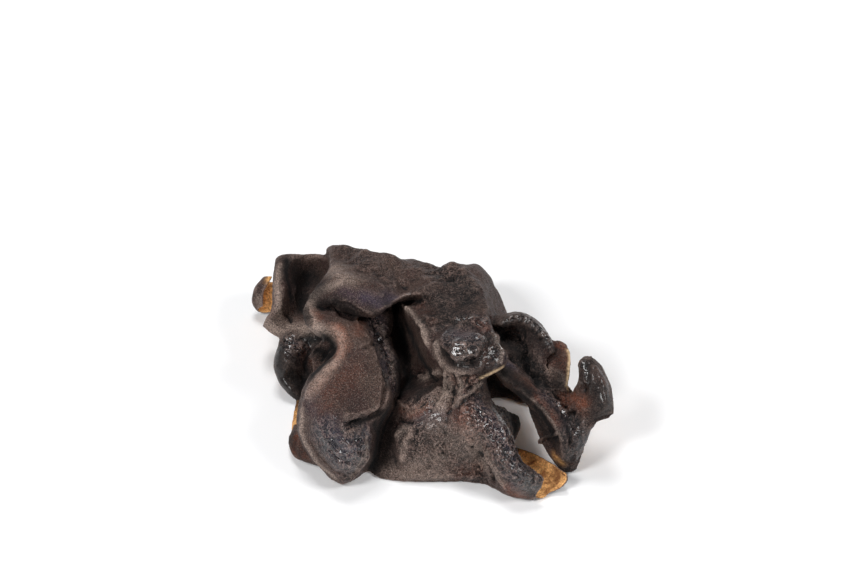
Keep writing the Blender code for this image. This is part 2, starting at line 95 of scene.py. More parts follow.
# The draped main sheet: rows run from the rear rim to the front rim, and columns from the turned-under
# left edge, over the long tongue, down into the valley, over the body and out to the right edge.
MAIN_SHEET: Net = [
    [(-19.8, 39.6, 4.0), (-22.4, 40.9, 1.2), (-19.2, 40.6, 0.2), (-15.4, 40.4, 1.0), (-11.4, 42.6, 6.0),
     (-7.2, 44.6, 6.5), (-4.2, 42.2, 1.4), (-0.8, 40.2, 0.2), (2.8, 39.2, 1.2), (6.8, 42.6, 4.5),
     (9.2, 44.2, 6.0), (11.6, 42.6, 7.0), (12.8, 40.0, 7.6)],
    [(-20.5, 42.8, 9.0), (-22.6, 44.5, 8.0), (-19.4, 45.3, 9.5), (-15.2, 44.5, 11.5), (-10.4, 45.3, 12.5),
     (-7.2, 46.7, 12.0), (-4.0, 46.7, 11.0), (-1.0, 44.2, 10.5), (2.8, 43.1, 10.5), (6.6, 45.3, 11.5),
     (8.8, 46.0, 12.0), (11.2, 43.5, 11.5), (12.6, 40.3, 10.0)],
    [(-20.0, 46.0, 11.0), (-21.8, 49.4, 15.0), (-18.6, 50.2, 18.0), (-14.6, 49.4, 20.0),
     (-10.0, 47.8, 19.0), (-7.0, 47.0, 17.4), (-4.2, 46.6, 16.8), (-1.4, 46.4, 17.6), (2.2, 46.2, 19.6),
     (6.2, 45.8, 20.4), (8.2, 45.0, 19.6), (10.2, 43.8, 17.5), (11.4, 42.2, 14.0)],
    [(-19.4, 44.0, 15.5), (-20.6, 46.2, 20.0), (-18.0, 46.4, 22.8), (-14.6, 45.2, 24.0),
     (-10.2, 43.4, 21.8), (-7.4, 42.6, 19.2), (-5.0, 42.4, 17.8), (-2.2, 42.2, 18.6), (1.8, 42.2, 20.8),
     (5.8, 42.2, 22.6), (7.8, 41.6, 22.2), (9.4, 40.2, 20.5), (10.2, 38.6, 18.0)],
    [(-21.4, 39.8, 18.0), (-22.8, 42.4, 22.6), (-20.4, 41.0, 24.8), (-16.6, 39.2, 24.4),
     (-12.3, 36.8, 22.2), (-9.4, 38.4, 20.3), (-6.6, 40.0, 19.6), (-3.4, 40.6, 20.5), (0.6, 39.8, 21.5),
     (5.4, 39.8, 22.0), (7.6, 39.4, 22.0), (9.2, 38.4, 21.5), (10.0, 37.0, 19.0)],
    [(-23.6, 35.4, 18.6), (-25.4, 37.6, 23.2), (-22.4, 37.8, 21.2), (-18.0, 37.2, 18.8),
     (-13.0, 36.8, 15.0), (-9.4, 39.4, 9.0), (-6.8, 39.8, 8.0), (-4.4, 39.0, 14.5), (0.0, 38.6, 21.5),
     (5.2, 38.2, 22.8), (7.6, 37.8, 23.0), (9.4, 37.2, 22.5), (10.4, 35.8, 19.5)],
    [(-21.8, 31.8, 19.0), (-24.4, 34.4, 23.0), (-21.4, 34.8, 24.2), (-17.4, 34.0, 22.8),
     (-14.2, 33.6, 19.3), (-10.4, 34.4, 10.5), (-7.4, 35.8, 7.5), (-4.8, 36.8, 19.2), (0.2, 36.6, 21.8),
     (5.2, 36.2, 23.4), (7.8, 36.0, 23.6), (10.0, 35.4, 23.4), (11.2, 33.8, 20.5)],
    [(-17.8, 28.6, 17.0), (-19.4, 31.2, 21.5), (-17.0, 31.8, 23.6), (-14.8, 31.4, 23.0),
     (-12.8, 30.8, 19.8), (-9.0, 31.2, 10.0), (-6.0, 32.2, 7.0), (-2.4, 33.2, 20.2), (1.8, 33.0, 22.4),
     (5.4, 33.0, 24.6), (8.6, 33.0, 23.2), (10.9, 32.8, 24.2), (12.2, 31.2, 21.0)],
    [(-18.0, 25.4, 15.0), (-19.6, 28.2, 19.5), (-17.0, 28.6, 22.3), (-14.2, 28.6, 22.6),
     (-11.4, 28.2, 19.3), (-7.8, 27.8, 9.3), (-4.4, 28.6, 7.0), (-1.2, 29.6, 19.4), (2.2, 29.6, 22.6),
     (5.8, 29.8, 25.0), (9.6, 29.4, 23.2), (12.7, 29.4, 24.2), (13.8, 27.8, 21.4)],
    [(-20.0, 23.6, 13.6), (-22.0, 26.2, 18.0), (-18.6, 26.4, 21.3), (-14.8, 26.6, 22.0),
     (-10.8, 26.2, 18.8), (-7.4, 26.0, 8.9), (-4.4, 26.8, 7.0), (-0.4, 27.0, 16.5), (2.2, 26.8, 20.6),
     (5.4, 26.6, 22.8), (8.4, 26.0, 22.2), (12.0, 26.6, 22.0), (13.8, 26.8, 20.4)],
    [(-21.4, 22.2, 12.6), (-23.4, 24.8, 17.0), (-19.4, 24.8, 20.6), (-15.0, 25.2, 21.5),
     (-10.5, 24.8, 18.3), (-7.1, 24.8, 8.6), (-4.4, 25.8, 6.6), (-0.4, 25.6, 12.0), (1.8, 25.2, 18.4),
     (5.2, 25.0, 20.6), (7.4, 24.6, 20.2), (9.0, 24.4, 19.0), (10.4, 24.6, 16.0)],
    [(-22.8, 20.8, 11.5), (-24.6, 23.6, 16.0), (-20.2, 23.4, 19.8), (-15.2, 23.8, 21.0),
     (-10.2, 23.4, 17.8), (-6.8, 23.4, 8.3), (-5.2, 23.0, 5.0), (-0.8, 23.6, 9.0), (2.6, 22.8, 16.6),
     (5.2, 22.4, 18.4), (7.2, 22.4, 18.0), (8.8, 22.6, 16.6), (10.0, 22.8, 12.6)],
    [(-24.6, 14.6, 7.5), (-26.6, 17.6, 11.5), (-22.0, 17.4, 15.8), (-15.8, 17.8, 17.8),
     (-9.6, 18.8, 15.3), (-8.6, 18.2, 5.2), (-6.8, 18.6, 8.2), (-2.4, 20.0, 13.0), (2.4, 20.4, 15.2),
     (5.8, 20.2, 16.6), (7.7, 20.0, 16.2), (9.8, 19.6, 15.0), (11.4, 18.6, 11.4)],
    [(-24.4, 10.6, 4.5), (-26.4, 13.0, 8.0), (-22.0, 12.6, 12.3), (-17.2, 13.0, 14.0),
     (-13.0, 13.8, 11.5), (-11.0, 13.4, 3.6), (-8.7, 14.0, 4.8), (-5.4, 14.4, 9.4), (1.4, 15.0, 11.8),
     (6.6, 15.0, 13.8), (9.4, 14.4, 13.3), (12.6, 13.8, 12.6), (15.0, 12.6, 9.5)],
    [(-22.0, 8.4, 2.2), (-24.4, 8.8, 4.6), (-20.8, 8.2, 8.2), (-17.2, 8.2, 9.6), (-13.6, 8.6, 7.2),
     (-11.7, 8.8, 2.4), (-9.2, 9.2, 3.4), (-5.8, 9.4, 6.6), (1.2, 9.6, 7.4), (6.2, 9.0, 7.6),
     (9.2, 8.2, 6.0), (13.0, 8.4, 10.0), (17.2, 7.6, 8.0)],
    [(-19.6, 7.2, 1.2), (-22.0, 6.6, 2.8), (-19.8, 5.8, 4.8), (-17.4, 5.4, 5.4), (-14.8, 6.2, 4.2),
     (-13.0, 6.6, 1.8), (-9.8, 6.0, 2.2), (-5.2, 6.0, 3.0), (0.8, 6.0, 3.6), (6.6, 5.6, 3.4),
     (10.0, 4.8, 2.6), (15.6, 4.2, 7.0), (21.2, 4.4, 6.0)],
    [(-18.2, 6.2, 1.0), (-20.6, 4.8, 1.4), (-19.4, 3.6, 1.6), (-18.2, 3.2, 1.6), (-16.0, 4.0, 1.4),
     (-13.4, 5.4, 0.8), (-10.6, 4.0, 0.6), (-5.8, 3.6, 0.6), (0.4, 3.6, 0.6), (6.8, 3.4, 0.6),
     (11.2, 2.6, 0.6), (15.2, 0.8, 0.8), (19.4, 0.0, 1.2)],
]

# The channel at the left: a hollow between an outer ridge and the tongue, ending in a flared lip.
LEFT_CHANNEL: Net = [
    [(-30.0, 45.8, 8.0), (-30.4, 47.2, 11.5), (-28.6, 47.4, 12.5), (-26.0, 47.0, 12.0), (-23.0, 47.0, 13.0),
     (-18.8, 47.0, 16.0)],
    [(-30.8, 44.8, 9.0), (-31.8, 47.4, 14.5), (-29.6, 48.0, 16.0), (-26.6, 48.0, 14.0), (-23.4, 48.0, 15.0),
     (-18.8, 47.0, 18.5)],
    [(-31.6, 41.8, 10.0), (-32.4, 45.0, 15.5), (-30.6, 45.2, 15.6), (-27.8, 44.6, 10.0), (-23.4, 44.2, 10.5),
     (-19.0, 44.2, 17.0)],
    [(-32.0, 38.6, 9.5), (-32.4, 41.2, 15.0), (-30.6, 41.0, 14.6), (-28.0, 40.6, 8.0), (-24.2, 40.2, 8.5),
     (-20.4, 40.4, 17.0)],
    [(-32.4, 36.0, 8.0), (-32.6, 37.6, 13.2), (-30.6, 37.6, 12.4), (-28.0, 37.0, 7.4), (-24.6, 36.8, 8.5),
     (-21.0, 37.4, 16.0)],
    [(-33.4, 34.6, 6.5), (-33.8, 35.4, 11.0), (-31.4, 35.2, 10.4), (-28.4, 34.8, 8.8), (-24.8, 34.6, 10.0),
     (-21.0, 34.6, 15.0)],
    [(-34.0, 33.4, 5.0), (-34.8, 34.0, 8.4), (-31.8, 31.8, 8.4), (-29.0, 32.0, 9.0), (-26.0, 32.8, 9.8),
     (-21.4, 32.8, 13.0)],
]

# The round lobe below that lip.
LEFT_LOBE: Net = [
    [(-29.6, 32.4, 6.5), (-30.2, 33.4, 9.5), (-28.0, 33.4, 10.4), (-25.0, 33.0, 10.2), (-21.8, 32.6, 11.0)],
    [(-31.0, 28.6, 4.6), (-31.2, 29.6, 8.2), (-29.2, 29.8, 9.6), (-26.2, 29.6, 7.6), (-22.4, 29.0, 7.0)],
    [(-31.6, 25.6, 3.4), (-31.8, 26.4, 6.6), (-29.4, 26.6, 7.6), (-26.6, 26.2, 4.4), (-22.8, 25.6, 4.8)],
    [(-30.6, 23.0, 2.2), (-31.0, 23.6, 4.6), (-29.0, 23.6, 4.8), (-26.6, 23.2, 2.2), (-23.0, 22.8, 3.0)],
    [(-29.0, 21.0, 1.2), (-29.4, 21.4, 3.0), (-27.8, 21.2, 3.2), (-26.0, 20.8, 1.8), (-23.0, 20.6, 2.2)],
    [(-27.6, 19.8, 0.7), (-27.8, 19.8, 1.8), (-26.8, 19.4, 2.2), (-25.2, 19.2, 1.8), (-22.6, 19.0, 2.2)],
]

# The sheet that runs under the tongue and ties the left lobe to it (placed stations).
UNDER_TONGUE: Net = [
    [(-25.5, 39.0, 8.0), (-21.0, 37.0, 10.0), (-17.5, 34.0, 16.5), (-15.5, 31.5, 20.0)],
    [(-25.0, 34.5, 9.0), (-20.5, 31.5, 11.0), (-17.0, 27.5, 18.5), (-15.0, 26.0, 22.0)],
    [(-24.5, 30.0, 8.0), (-20.5, 27.0, 9.5), (-16.5, 23.5, 16.5), (-14.5, 22.0, 21.5)],
    [(-24.5, 26.0, 6.0), (-21.5, 23.0, 7.5), (-18.0, 19.5, 14.5), (-15.5, 18.0, 20.0)],
    [(-25.0, 23.0, 3.0), (-23.0, 18.5, 4.5), (-20.5, 14.5, 10.0), (-18.0, 12.5, 16.0)],
    [(-25.0, 20.0, 1.0), (-24.0, 15.0, 2.0), (-22.0, 10.5, 6.0), (-20.0, 8.5, 11.5)],
]

# A felted strip and a small lobe that show past the tongue's lower left edge.
LOWER_LEFT_FELT: Net = [
    [(-27.6, 20.2, 1.8), (-25.8, 20.0, 2.4), (-23.0, 19.6, 3.6)],
    [(-28.4, 16.4, 1.2), (-26.4, 16.4, 1.8), (-23.4, 16.0, 3.6)],
    [(-28.6, 13.4, 1.0), (-26.8, 13.0, 2.0), (-23.6, 12.4, 3.6)],
    [(-28.2, 10.8, 1.2), (-26.4, 10.4, 2.4), (-23.4, 10.2, 3.4)],
]
LOWER_LEFT_LOBE: Net = [
    [(-28.2, 14.4, 1.8), (-26.4, 13.8, 3.6), (-23.6, 13.4, 5.2)],
    [(-29.0, 11.4, 2.4), (-27.0, 11.4, 4.8), (-24.0, 10.8, 4.8)],
    [(-28.2, 9.0, 1.8), (-26.0, 8.4, 3.2), (-22.6, 7.6, 3.0)],
    [(-27.0, 8.0, 0.7), (-24.6, 7.2, 0.7), (-21.0, 6.0, 0.9)],
]

# The small rolled edge behind the left channel, felt side to the front.
REAR_LEFT_ROLL: Net = [
    [(-29.6, 43.4, 10.4), (-32.4, 43.0, 7.0), (-34.4, 43.2, 7.0), (-34.8, 44.2, 9.4), (-33.2, 44.2, 10.6)],
    [(-29.6, 40.8, 9.6), (-33.0, 40.2, 4.6), (-36.0, 40.4, 4.4), (-36.6, 41.8, 7.2), (-34.6, 42.0, 8.8)],
    [(-29.6, 38.6, 9.0), (-33.0, 38.4, 3.2), (-36.4, 38.2, 2.4), (-37.0, 39.4, 4.8), (-35.2, 40.0, 6.6)],
    [(-29.6, 37.0, 8.6), (-33.0, 36.8, 2.4), (-35.4, 36.8, 1.6), (-36.2, 37.4, 3.0), (-35.2, 38.0, 4.6)],
]

# The lower wall of the rolled cornet at the front right, felt side up.
CORNET_LIP: Net = [
    [(10.8, 2.8, 1.2), (15.4, 0.8, 1.4), (19.0, 0.3, 1.5), (21.2, 1.0, 0.9)],
    [(13.0, 5.4, 0.7), (17.4, 3.8, 0.7), (22.0, 2.6, 0.9), (24.2, 2.0, 1.8)],
    [(14.6, 8.4, 0.8), (19.4, 6.4, 1.0), (23.4, 5.0, 1.5), (25.8, 3.8, 3.5)],
    [(15.8, 10.2, 2.0), (20.0, 8.8, 3.0), (23.6, 6.8, 3.5), (25.6, 5.2, 4.8)],
]

# The ribbon at the right: a hanging blade, a fold with a thin edge and a long hollow.
RIGHT_RIBBON: Net = [
    [(11.6, 25.4, 13.5), (12.4, 26.2, 18.4), (13.8, 27.2, 18.0), (15.4, 28.4, 16.6), (17.0, 29.6, 16.0)],
    [(14.0, 22.4, 12.4), (15.0, 23.6, 17.4), (16.6, 24.8, 16.8), (18.2, 26.0, 15.0), (20.0, 27.2, 15.2)],
    [(18.2, 19.2, 10.4), (18.4, 20.6, 16.0), (20.0, 22.0, 15.4), (22.0, 23.4, 13.6), (23.6, 24.6, 14.4)],
    [(19.4, 16.0, 7.4), (22.0, 17.2, 13.8), (23.6, 18.6, 13.4), (25.4, 20.2, 12.2), (27.2, 21.4, 13.2)],
    [(20.4, 13.0, 5.0), (24.6, 13.2, 10.4), (26.0, 14.2, 10.4), (27.4, 15.4, 10.0), (28.8, 16.4, 11.0)],
    [(22.2, 9.4, 2.6), (25.6, 8.6, 5.4), (26.4, 9.0, 5.6), (27.2, 9.4, 5.6), (28.0, 9.8, 5.8)],
    [(24.6, 6.0, 0.3), (25.6, 5.4, 0.3), (26.2, 5.2, 0.3), (26.8, 5.2, 0.3), (27.4, 5.6, 0.3)],
]

# The crested lobe above that ribbon, with a thick rolled rim and a hollow inside it.
CREST_LOBE: Net = [
    [(10.0, 35.4, 13.0), (13.4, 36.2, 13.5), (17.0, 36.2, 13.5), (20.6, 34.6, 13.5), (23.0, 31.4, 13.5),
     (24.2, 28.4, 13.0)],
    [(10.0, 34.6, 18.4), (13.8, 35.4, 20.6), (16.6, 36.2, 21.6), (19.8, 34.8, 21.8), (22.3, 32.0, 21.0),
     (23.6, 29.0, 19.2)],
    [(10.4, 33.2, 17.0), (13.8, 33.8, 18.6), (16.4, 34.2, 19.4), (19.0, 33.0, 20.4), (21.0, 30.8, 20.2),
     (22.4, 28.2, 18.8)],
    [(10.8, 31.4, 16.6), (13.8, 31.8, 15.8), (16.4, 32.0, 15.8), (18.8, 30.6, 18.4), (20.6, 28.6, 19.0),
     (22.2, 26.4, 18.0)],
    [(11.6, 29.4, 18.6), (14.2, 29.4, 18.0), (16.6, 29.0, 16.8), (18.8, 27.8, 15.8), (20.8, 26.4, 17.4),
     (22.8, 24.8, 17.0)],
    [(12.4, 27.2, 17.4), (14.8, 27.0, 16.8), (17.2, 26.4, 15.0), (19.2, 25.2, 14.0), (21.4, 23.8, 15.2),
     (23.6, 22.8, 15.2)],
    [(13.2, 25.6, 14.5), (15.6, 25.0, 14.4), (18.2, 24.0, 13.4), (20.4, 22.8, 13.0), (22.8, 21.8, 13.2),
     (24.8, 21.2, 12.8)],
]

# The flap beside the crest, its cut edge turned to the right.
EDGE_FLAP: Net = [
    [(20.6, 30.6, 15.8), (24.4, 31.4, 18.6), (26.2, 30.4, 18.6)],
    [(20.2, 28.4, 15.6), (24.6, 29.2, 18.6), (26.7, 28.8, 18.4)],
    [(20.4, 26.2, 15.4), (24.6, 26.4, 17.8), (26.7, 26.0, 17.4)],
    [(21.6, 24.2, 15.0), (24.6, 24.0, 16.4), (26.4, 23.4, 16.0)],
    [(23.0, 22.2, 14.0), (25.0, 21.8, 14.6), (26.0, 21.6, 14.4)],
]

# The outer lobe, rolled over at the top and drawn out to a foot.
OUTER_LOBE: Net = [
    [(28.7, 26.6, 16.5), (29.2, 27.7, 18.6), (30.2, 28.1, 19.4), (31.5, 27.4, 18.6), (32.5, 26.2, 16.6)],
    [(28.7, 25.2, 17.0), (29.3, 26.2, 20.2), (30.7, 26.0, 20.8), (32.4, 25.2, 19.4), (33.6, 24.4, 17.2)],
    [(28.5, 23.2, 15.6), (29.4, 23.8, 19.0), (30.9, 23.6, 19.8), (33.0, 22.8, 18.8), (34.5, 22.2, 16.8)],
    [(27.4, 21.4, 13.6), (29.1, 21.6, 16.2), (31.0, 21.0, 17.4), (33.2, 20.2, 17.4), (34.9, 19.4, 15.6)],
    [(26.4, 19.4, 12.2), (28.6, 19.4, 14.2), (30.8, 18.8, 15.6), (33.0, 17.8, 15.6), (34.7, 16.8, 14.0)],
    [(26.4, 17.0, 10.8), (28.0, 16.8, 12.4), (29.6, 16.4, 13.4), (31.0, 15.9, 13.0), (32.0, 15.8, 11.6)],
    [(26.2, 13.6, 8.6), (27.4, 13.4, 10.2), (28.6, 13.2, 10.8), (29.6, 13.0, 10.4), (30.3, 12.8, 9.2)],
    [(26.0, 10.0, 5.2), (26.9, 9.8, 6.4), (27.8, 9.4, 6.6), (28.5, 9.2, 6.2), (29.1, 9.0, 5.2)],
    [(25.6, 6.2, 0.8), (26.1, 5.8, 1.0), (26.7, 5.4, 1.0), (27.3, 5.4, 0.9), (27.8, 5.8, 0.7)],
]

# The shining strip under the tongue's right edge.
VALLEY_STRIP: Net = [
    [(-14.6, 37.4, 14.0), (-11.5, 37.8, 14.0), (-8.8, 38.2, 12.0)],
    [(-13.8, 34.6, 15.4), (-10.8, 35.0, 15.0), (-8.4, 35.2, 12.6)],
    [(-13.2, 31.8, 16.2), (-10.6, 32.0, 15.6), (-8.6, 32.0, 13.0)],
    [(-12.4, 29.6, 16.2), (-9.8, 29.8, 14.8), (-8.4, 30.0, 12.4)],
    [(-11.6, 27.0, 15.8), (-8.8, 27.0, 14.8), (-7.4, 27.2, 12.0)],
    [(-11.2, 23.4, 14.8), (-8.2, 23.4, 13.6), (-7.0, 23.6, 11.0)],
    [(-10.8, 20.4, 13.0), (-8.4, 20.4, 11.6), (-7.4, 20.6, 9.2)],
    [(-11.2, 18.8, 11.4), (-9.6, 18.8, 10.0), (-8.8, 19.0, 8.2)],
]

# The wall behind the see-through gap (placed stations).
GAP_WALL: Net = [
    [(7.0, 30.5, 21.0), (12.5, 28.5, 15.5), (18.5, 25.5, 13.0)],
    [(7.5, 28.5, 12.0), (13.0, 29.8, 10.5), (19.0, 26.5, 9.0)],
    [(8.0, 27.0, 5.5), (13.5, 28.2, 5.0), (19.5, 25.5, 5.0)],
    [(9.0, 26.5, 0.3), (14.5, 27.2, 0.3), (20.5, 24.5, 0.3)],
]

# The right flank, from the end of the rear skirt to the wall of the gap (placed stations).
RIGHT_FLANK: Net = [
    [(10.5, 45.5, 16.0), (12.6, 46.5, 11.5), (13.6, 46.0, 7.5), (13.0, 45.0, 4.5)],
    [(10.0, 37.5, 18.5), (12.6, 37.5, 12.0), (15.0, 38.0, 8.0), (15.6, 38.5, 3.0)],
    [(11.0, 31.0, 19.0), (13.4, 32.0, 13.5), (16.0, 33.0, 8.0), (17.0, 34.0, 1.5)],
    [(12.6, 27.0, 17.5), (15.0, 27.6, 13.5), (17.4, 28.2, 7.5), (18.4, 28.4, 0.3)],
]

# A small lobe that looks out from behind the front tongue, into the gap.
GAP_LOBE: Net = [
    [(9.8, 19.8, 14.4), (13.4, 17.8, 9.5), (16.6, 16.4, 6.5)],
    [(11.8, 15.4, 12.4), (15.2, 14.4, 7.0), (17.0, 14.2, 5.0)],
    [(13.8, 12.0, 10.6), (14.8, 11.2, 5.0), (16.0, 11.4, 3.0)],
]


class Sight(Enum):
    """How the three numbers of a station are read."""

    SEEN = "across, up, height"
    PLACED = "x, back, height"


class Tint(Enum):
    """What is brushed on the skin; each is kept as an attribute of the same name."""

    GLOSS = "gloss"
    # Painted glow of light coming red through thin places.
    RED = "red"
    # Purple-blue: partly the skin's own tone, partly painted bluish sheen.
    PURPLE = "purple"
    # Dust, and painted highlight on lit edges and rims.
    DUST_AND_HIGHLIGHT = "dust_and_highlight"
    CREAM = "cream"
    TAN = "tan"
    WRINKLED = "wrinkled"
    # Painted shade where no light reaches.
    BLACK = "black"


def placed(station: Station) -> Vector:
    """The place of an (x, back, height) station, in metres, with the ear centred over the origin."""
    return (Vector(station) - Vector((MIDDLE_X, MIDDLE_BACK, TABLE_CUT_HEIGHT))) * MM


def seen(station: Station) -> Vector:
    """The place of an (across, up, height) station, in metres."""
    across, up, height = station
    back = (up - height * math.cos(VIEW_TILT)) / math.sin(VIEW_TILT)
    return placed((across, back, height))


def smooth_step(value: float, low: float, high: float) -> float:
    """0 below low, 1 above high and a smooth rise between."""
    part = min(max((value - low) / (high - low), 0.0), 1.0)
    return part * part * (3.0 - 2.0 * part)


def ridged(point: Vector) -> float:
    """Noise with sharp crests: 1 on a crest, 0 in the widest hollows."""
    return 1.0 - min(abs(noise.noise(point)) * NOISE_GAIN, 1.0)


def curve_through(points: np.ndarray, steps: int) -> np.ndarray:
    """Runs a Catmull-Rom curve through stations.

    Args:
        points: stations along the first axis.
        steps: points for each span.

    Returns:
        The finer row of points, along the first axis.
    """
    ends = np.concatenate([[2 * points[0] - points[1]], points, [2 * points[-1] - points[-2]]])
    line = []
    for span in range(len(points) - 1):
        before, start, stop, after = ends[span:span + 4]
        for step in range(steps):
            t = step / steps
            line.append(
                0.5 * (2 * start + (stop - before) * t
                       + (2 * before - 5 * start + 4 * stop - after) * t * t
                       + (3 * start - before - 3 * stop + after) * t * t * t)
            )
    line.append(points[-1])
    return np.array(line)


def edge_ends(bm: bmesh.types.BMesh) -> np.ndarray:
    """The indices of the two points of each edge, a row an edge."""
    return np.array([[vert.index for vert in edge.verts] for edge in bm.edges])


def mesh_object(bm: bmesh.types.BMesh, name: str) -> bpy.types.Object:
    """Keeps a bmesh as a named, smooth-shaded object of the scene.

    Args:
        bm: the mesh that was built; it is freed.
        name: the object's name.

    Returns:
        The new object.
    """
    mesh = bpy.data.meshes.new(name)
    bm.to_mesh(mesh)
    bm.free()
    mesh.shade_smooth()
    thing = bpy.data.objects.new(name, mesh)
    bpy.context.scene.collection.objects.link(thing)
    return thing


def settle_modifiers(thing: bpy.types.Object) -> None:
    """Keeps the object's shape as its modifiers leave it, and drops them."""
    bpy.context.view_layer.update()
    graph = bpy.context.evaluated_depsgraph_get()
    shape = bpy.data.meshes.new_from_object(thing.evaluated_get(graph))
    thing.modifiers.clear()
    thing.data = shape


@dataclass
class Lobe:
    """One sheet of the ear, from a net of stations.

    Its dark_side is 1 where the net shows the dark side, as seen from above, and -1 where it shows felt.
    """

    name: str
    net: Net
    sight: Sight = Sight.SEEN
    dark_side: int = 1
    steps: int = 7
    thickness: float = 1.0 * MM
    rim_share: float = 0.6
    rim_width: float = 1.8 * MM
    drift_size: float = 6.0 * MM
    drift_reach: float = 1.3
    fold_size: float = 9.0 * MM
    fold_depth: float = 0.45 * MM
    shrivel_size: float = 4.2 * MM
    shrivel_depth: float = 0.14 * MM
    shrivel_level: float = 0.55

    def middle_net(self) -> np.ndarray:
        """The net made finer both ways, as rows by columns by coordinates."""
        place = seen if self.sight is Sight.SEEN else placed
        stations = np.array([[place(station) for station in row] for row in self.net])
        along = curve_through(stations, self.steps)
        across = curve_through(along.transpose(1, 0, 2), self.steps)
        return across.transpose(1, 0, 2)

    def middle(self) -> bmesh.types.BMesh:
        """Builds the rippled sheet that runs through the middle of the lobe's thickness.

        Returns:
            A grid, its faces turned as the net is seen.
        """
        points = self.middle_net()
        rows, columns = points.shape[:2]
        bm = bmesh.new()
        bmesh.ops.create_grid(bm, x_segments=columns - 1, y_segments=rows - 1, size=1.0)
        for vert, point in zip(bm.verts, points[::-1].reshape(-1, 3)):
            vert.co = Vector(point)
        bm.normal_update()
        moves = [(vert, vert.normal * self.ripple(vert.co)) for vert in bm.verts]
        for vert, move in moves:
            vert.co += move
        bm.normal_update()
        return bm

    def ripple(self, place: Vector) -> float:
        """How far drying has pushed the sheet out of its smooth course at a place."""
        drift = noise.noise_vector(place / self.drift_size) * self.drift_reach * MM
        fold = noise.noise((place + drift) / self.fold_size) * self.fold_depth
        crest = (ridged((place + drift) / self.shrivel_size) - self.shrivel_level) * self.shrivel_depth
        return fold + crest

    def solid(self) -> bpy.types.Object:
        """The thick sheet, thinner towards its rims, as an object."""
        bm = self.middle()
        rims = KDTree(len(bm.verts))
        for vert in bm.verts:
            if vert.is_boundary:
                rims.insert(vert.co, vert.index)
        rims.balance()
        shares = []
        for vert in bm.verts:
            reach = rims.find(vert.co)[2] / self.rim_width
            shares.append(self.rim_share + (1.0 - self.rim_share) * smooth_step(reach, 0.0, 1.0))
        thing = mesh_object(bm, self.name)
        body = thing.vertex_groups.new(name="thickness")
        for index, share in enumerate(shares):
            body.add([index], share, "REPLACE")
        solidify = thing.modifiers.new("thickness", "SOLIDIFY")
        solidify.thickness = self.thickness
        solidify.offset = 0.0
        solidify.vertex_group = body.name
        solidify.thickness_vertex_group = 0.0
        settle_modifiers(thing)
        return thing


LOBES = [
    Lobe("main_sheet", MAIN_SHEET),
    Lobe("left_channel", LEFT_CHANNEL),
    Lobe("left_lobe", LEFT_LOBE),
    Lobe("under_tongue", UNDER_TONGUE, Sight.PLACED),
    Lobe("lower_left_felt", LOWER_LEFT_FELT, dark_side=-1),
    Lobe("lower_left_lobe", LOWER_LEFT_LOBE),
    Lobe("rear_left_roll", REAR_LEFT_ROLL),
    Lobe("cornet_lip", CORNET_LIP),
    Lobe("right_ribbon", RIGHT_RIBBON),
    Lobe("crest_lobe", CREST_LOBE),
    Lobe("edge_flap", EDGE_FLAP),
    Lobe("outer_lobe", OUTER_LOBE),
    Lobe("valley_strip", VALLEY_STRIP),
    Lobe("gap_wall", GAP_WALL, Sight.PLACED),
    Lobe("right_flank", RIGHT_FLANK, Sight.PLACED),
    Lobe("gap_lobe", GAP_LOBE),
]

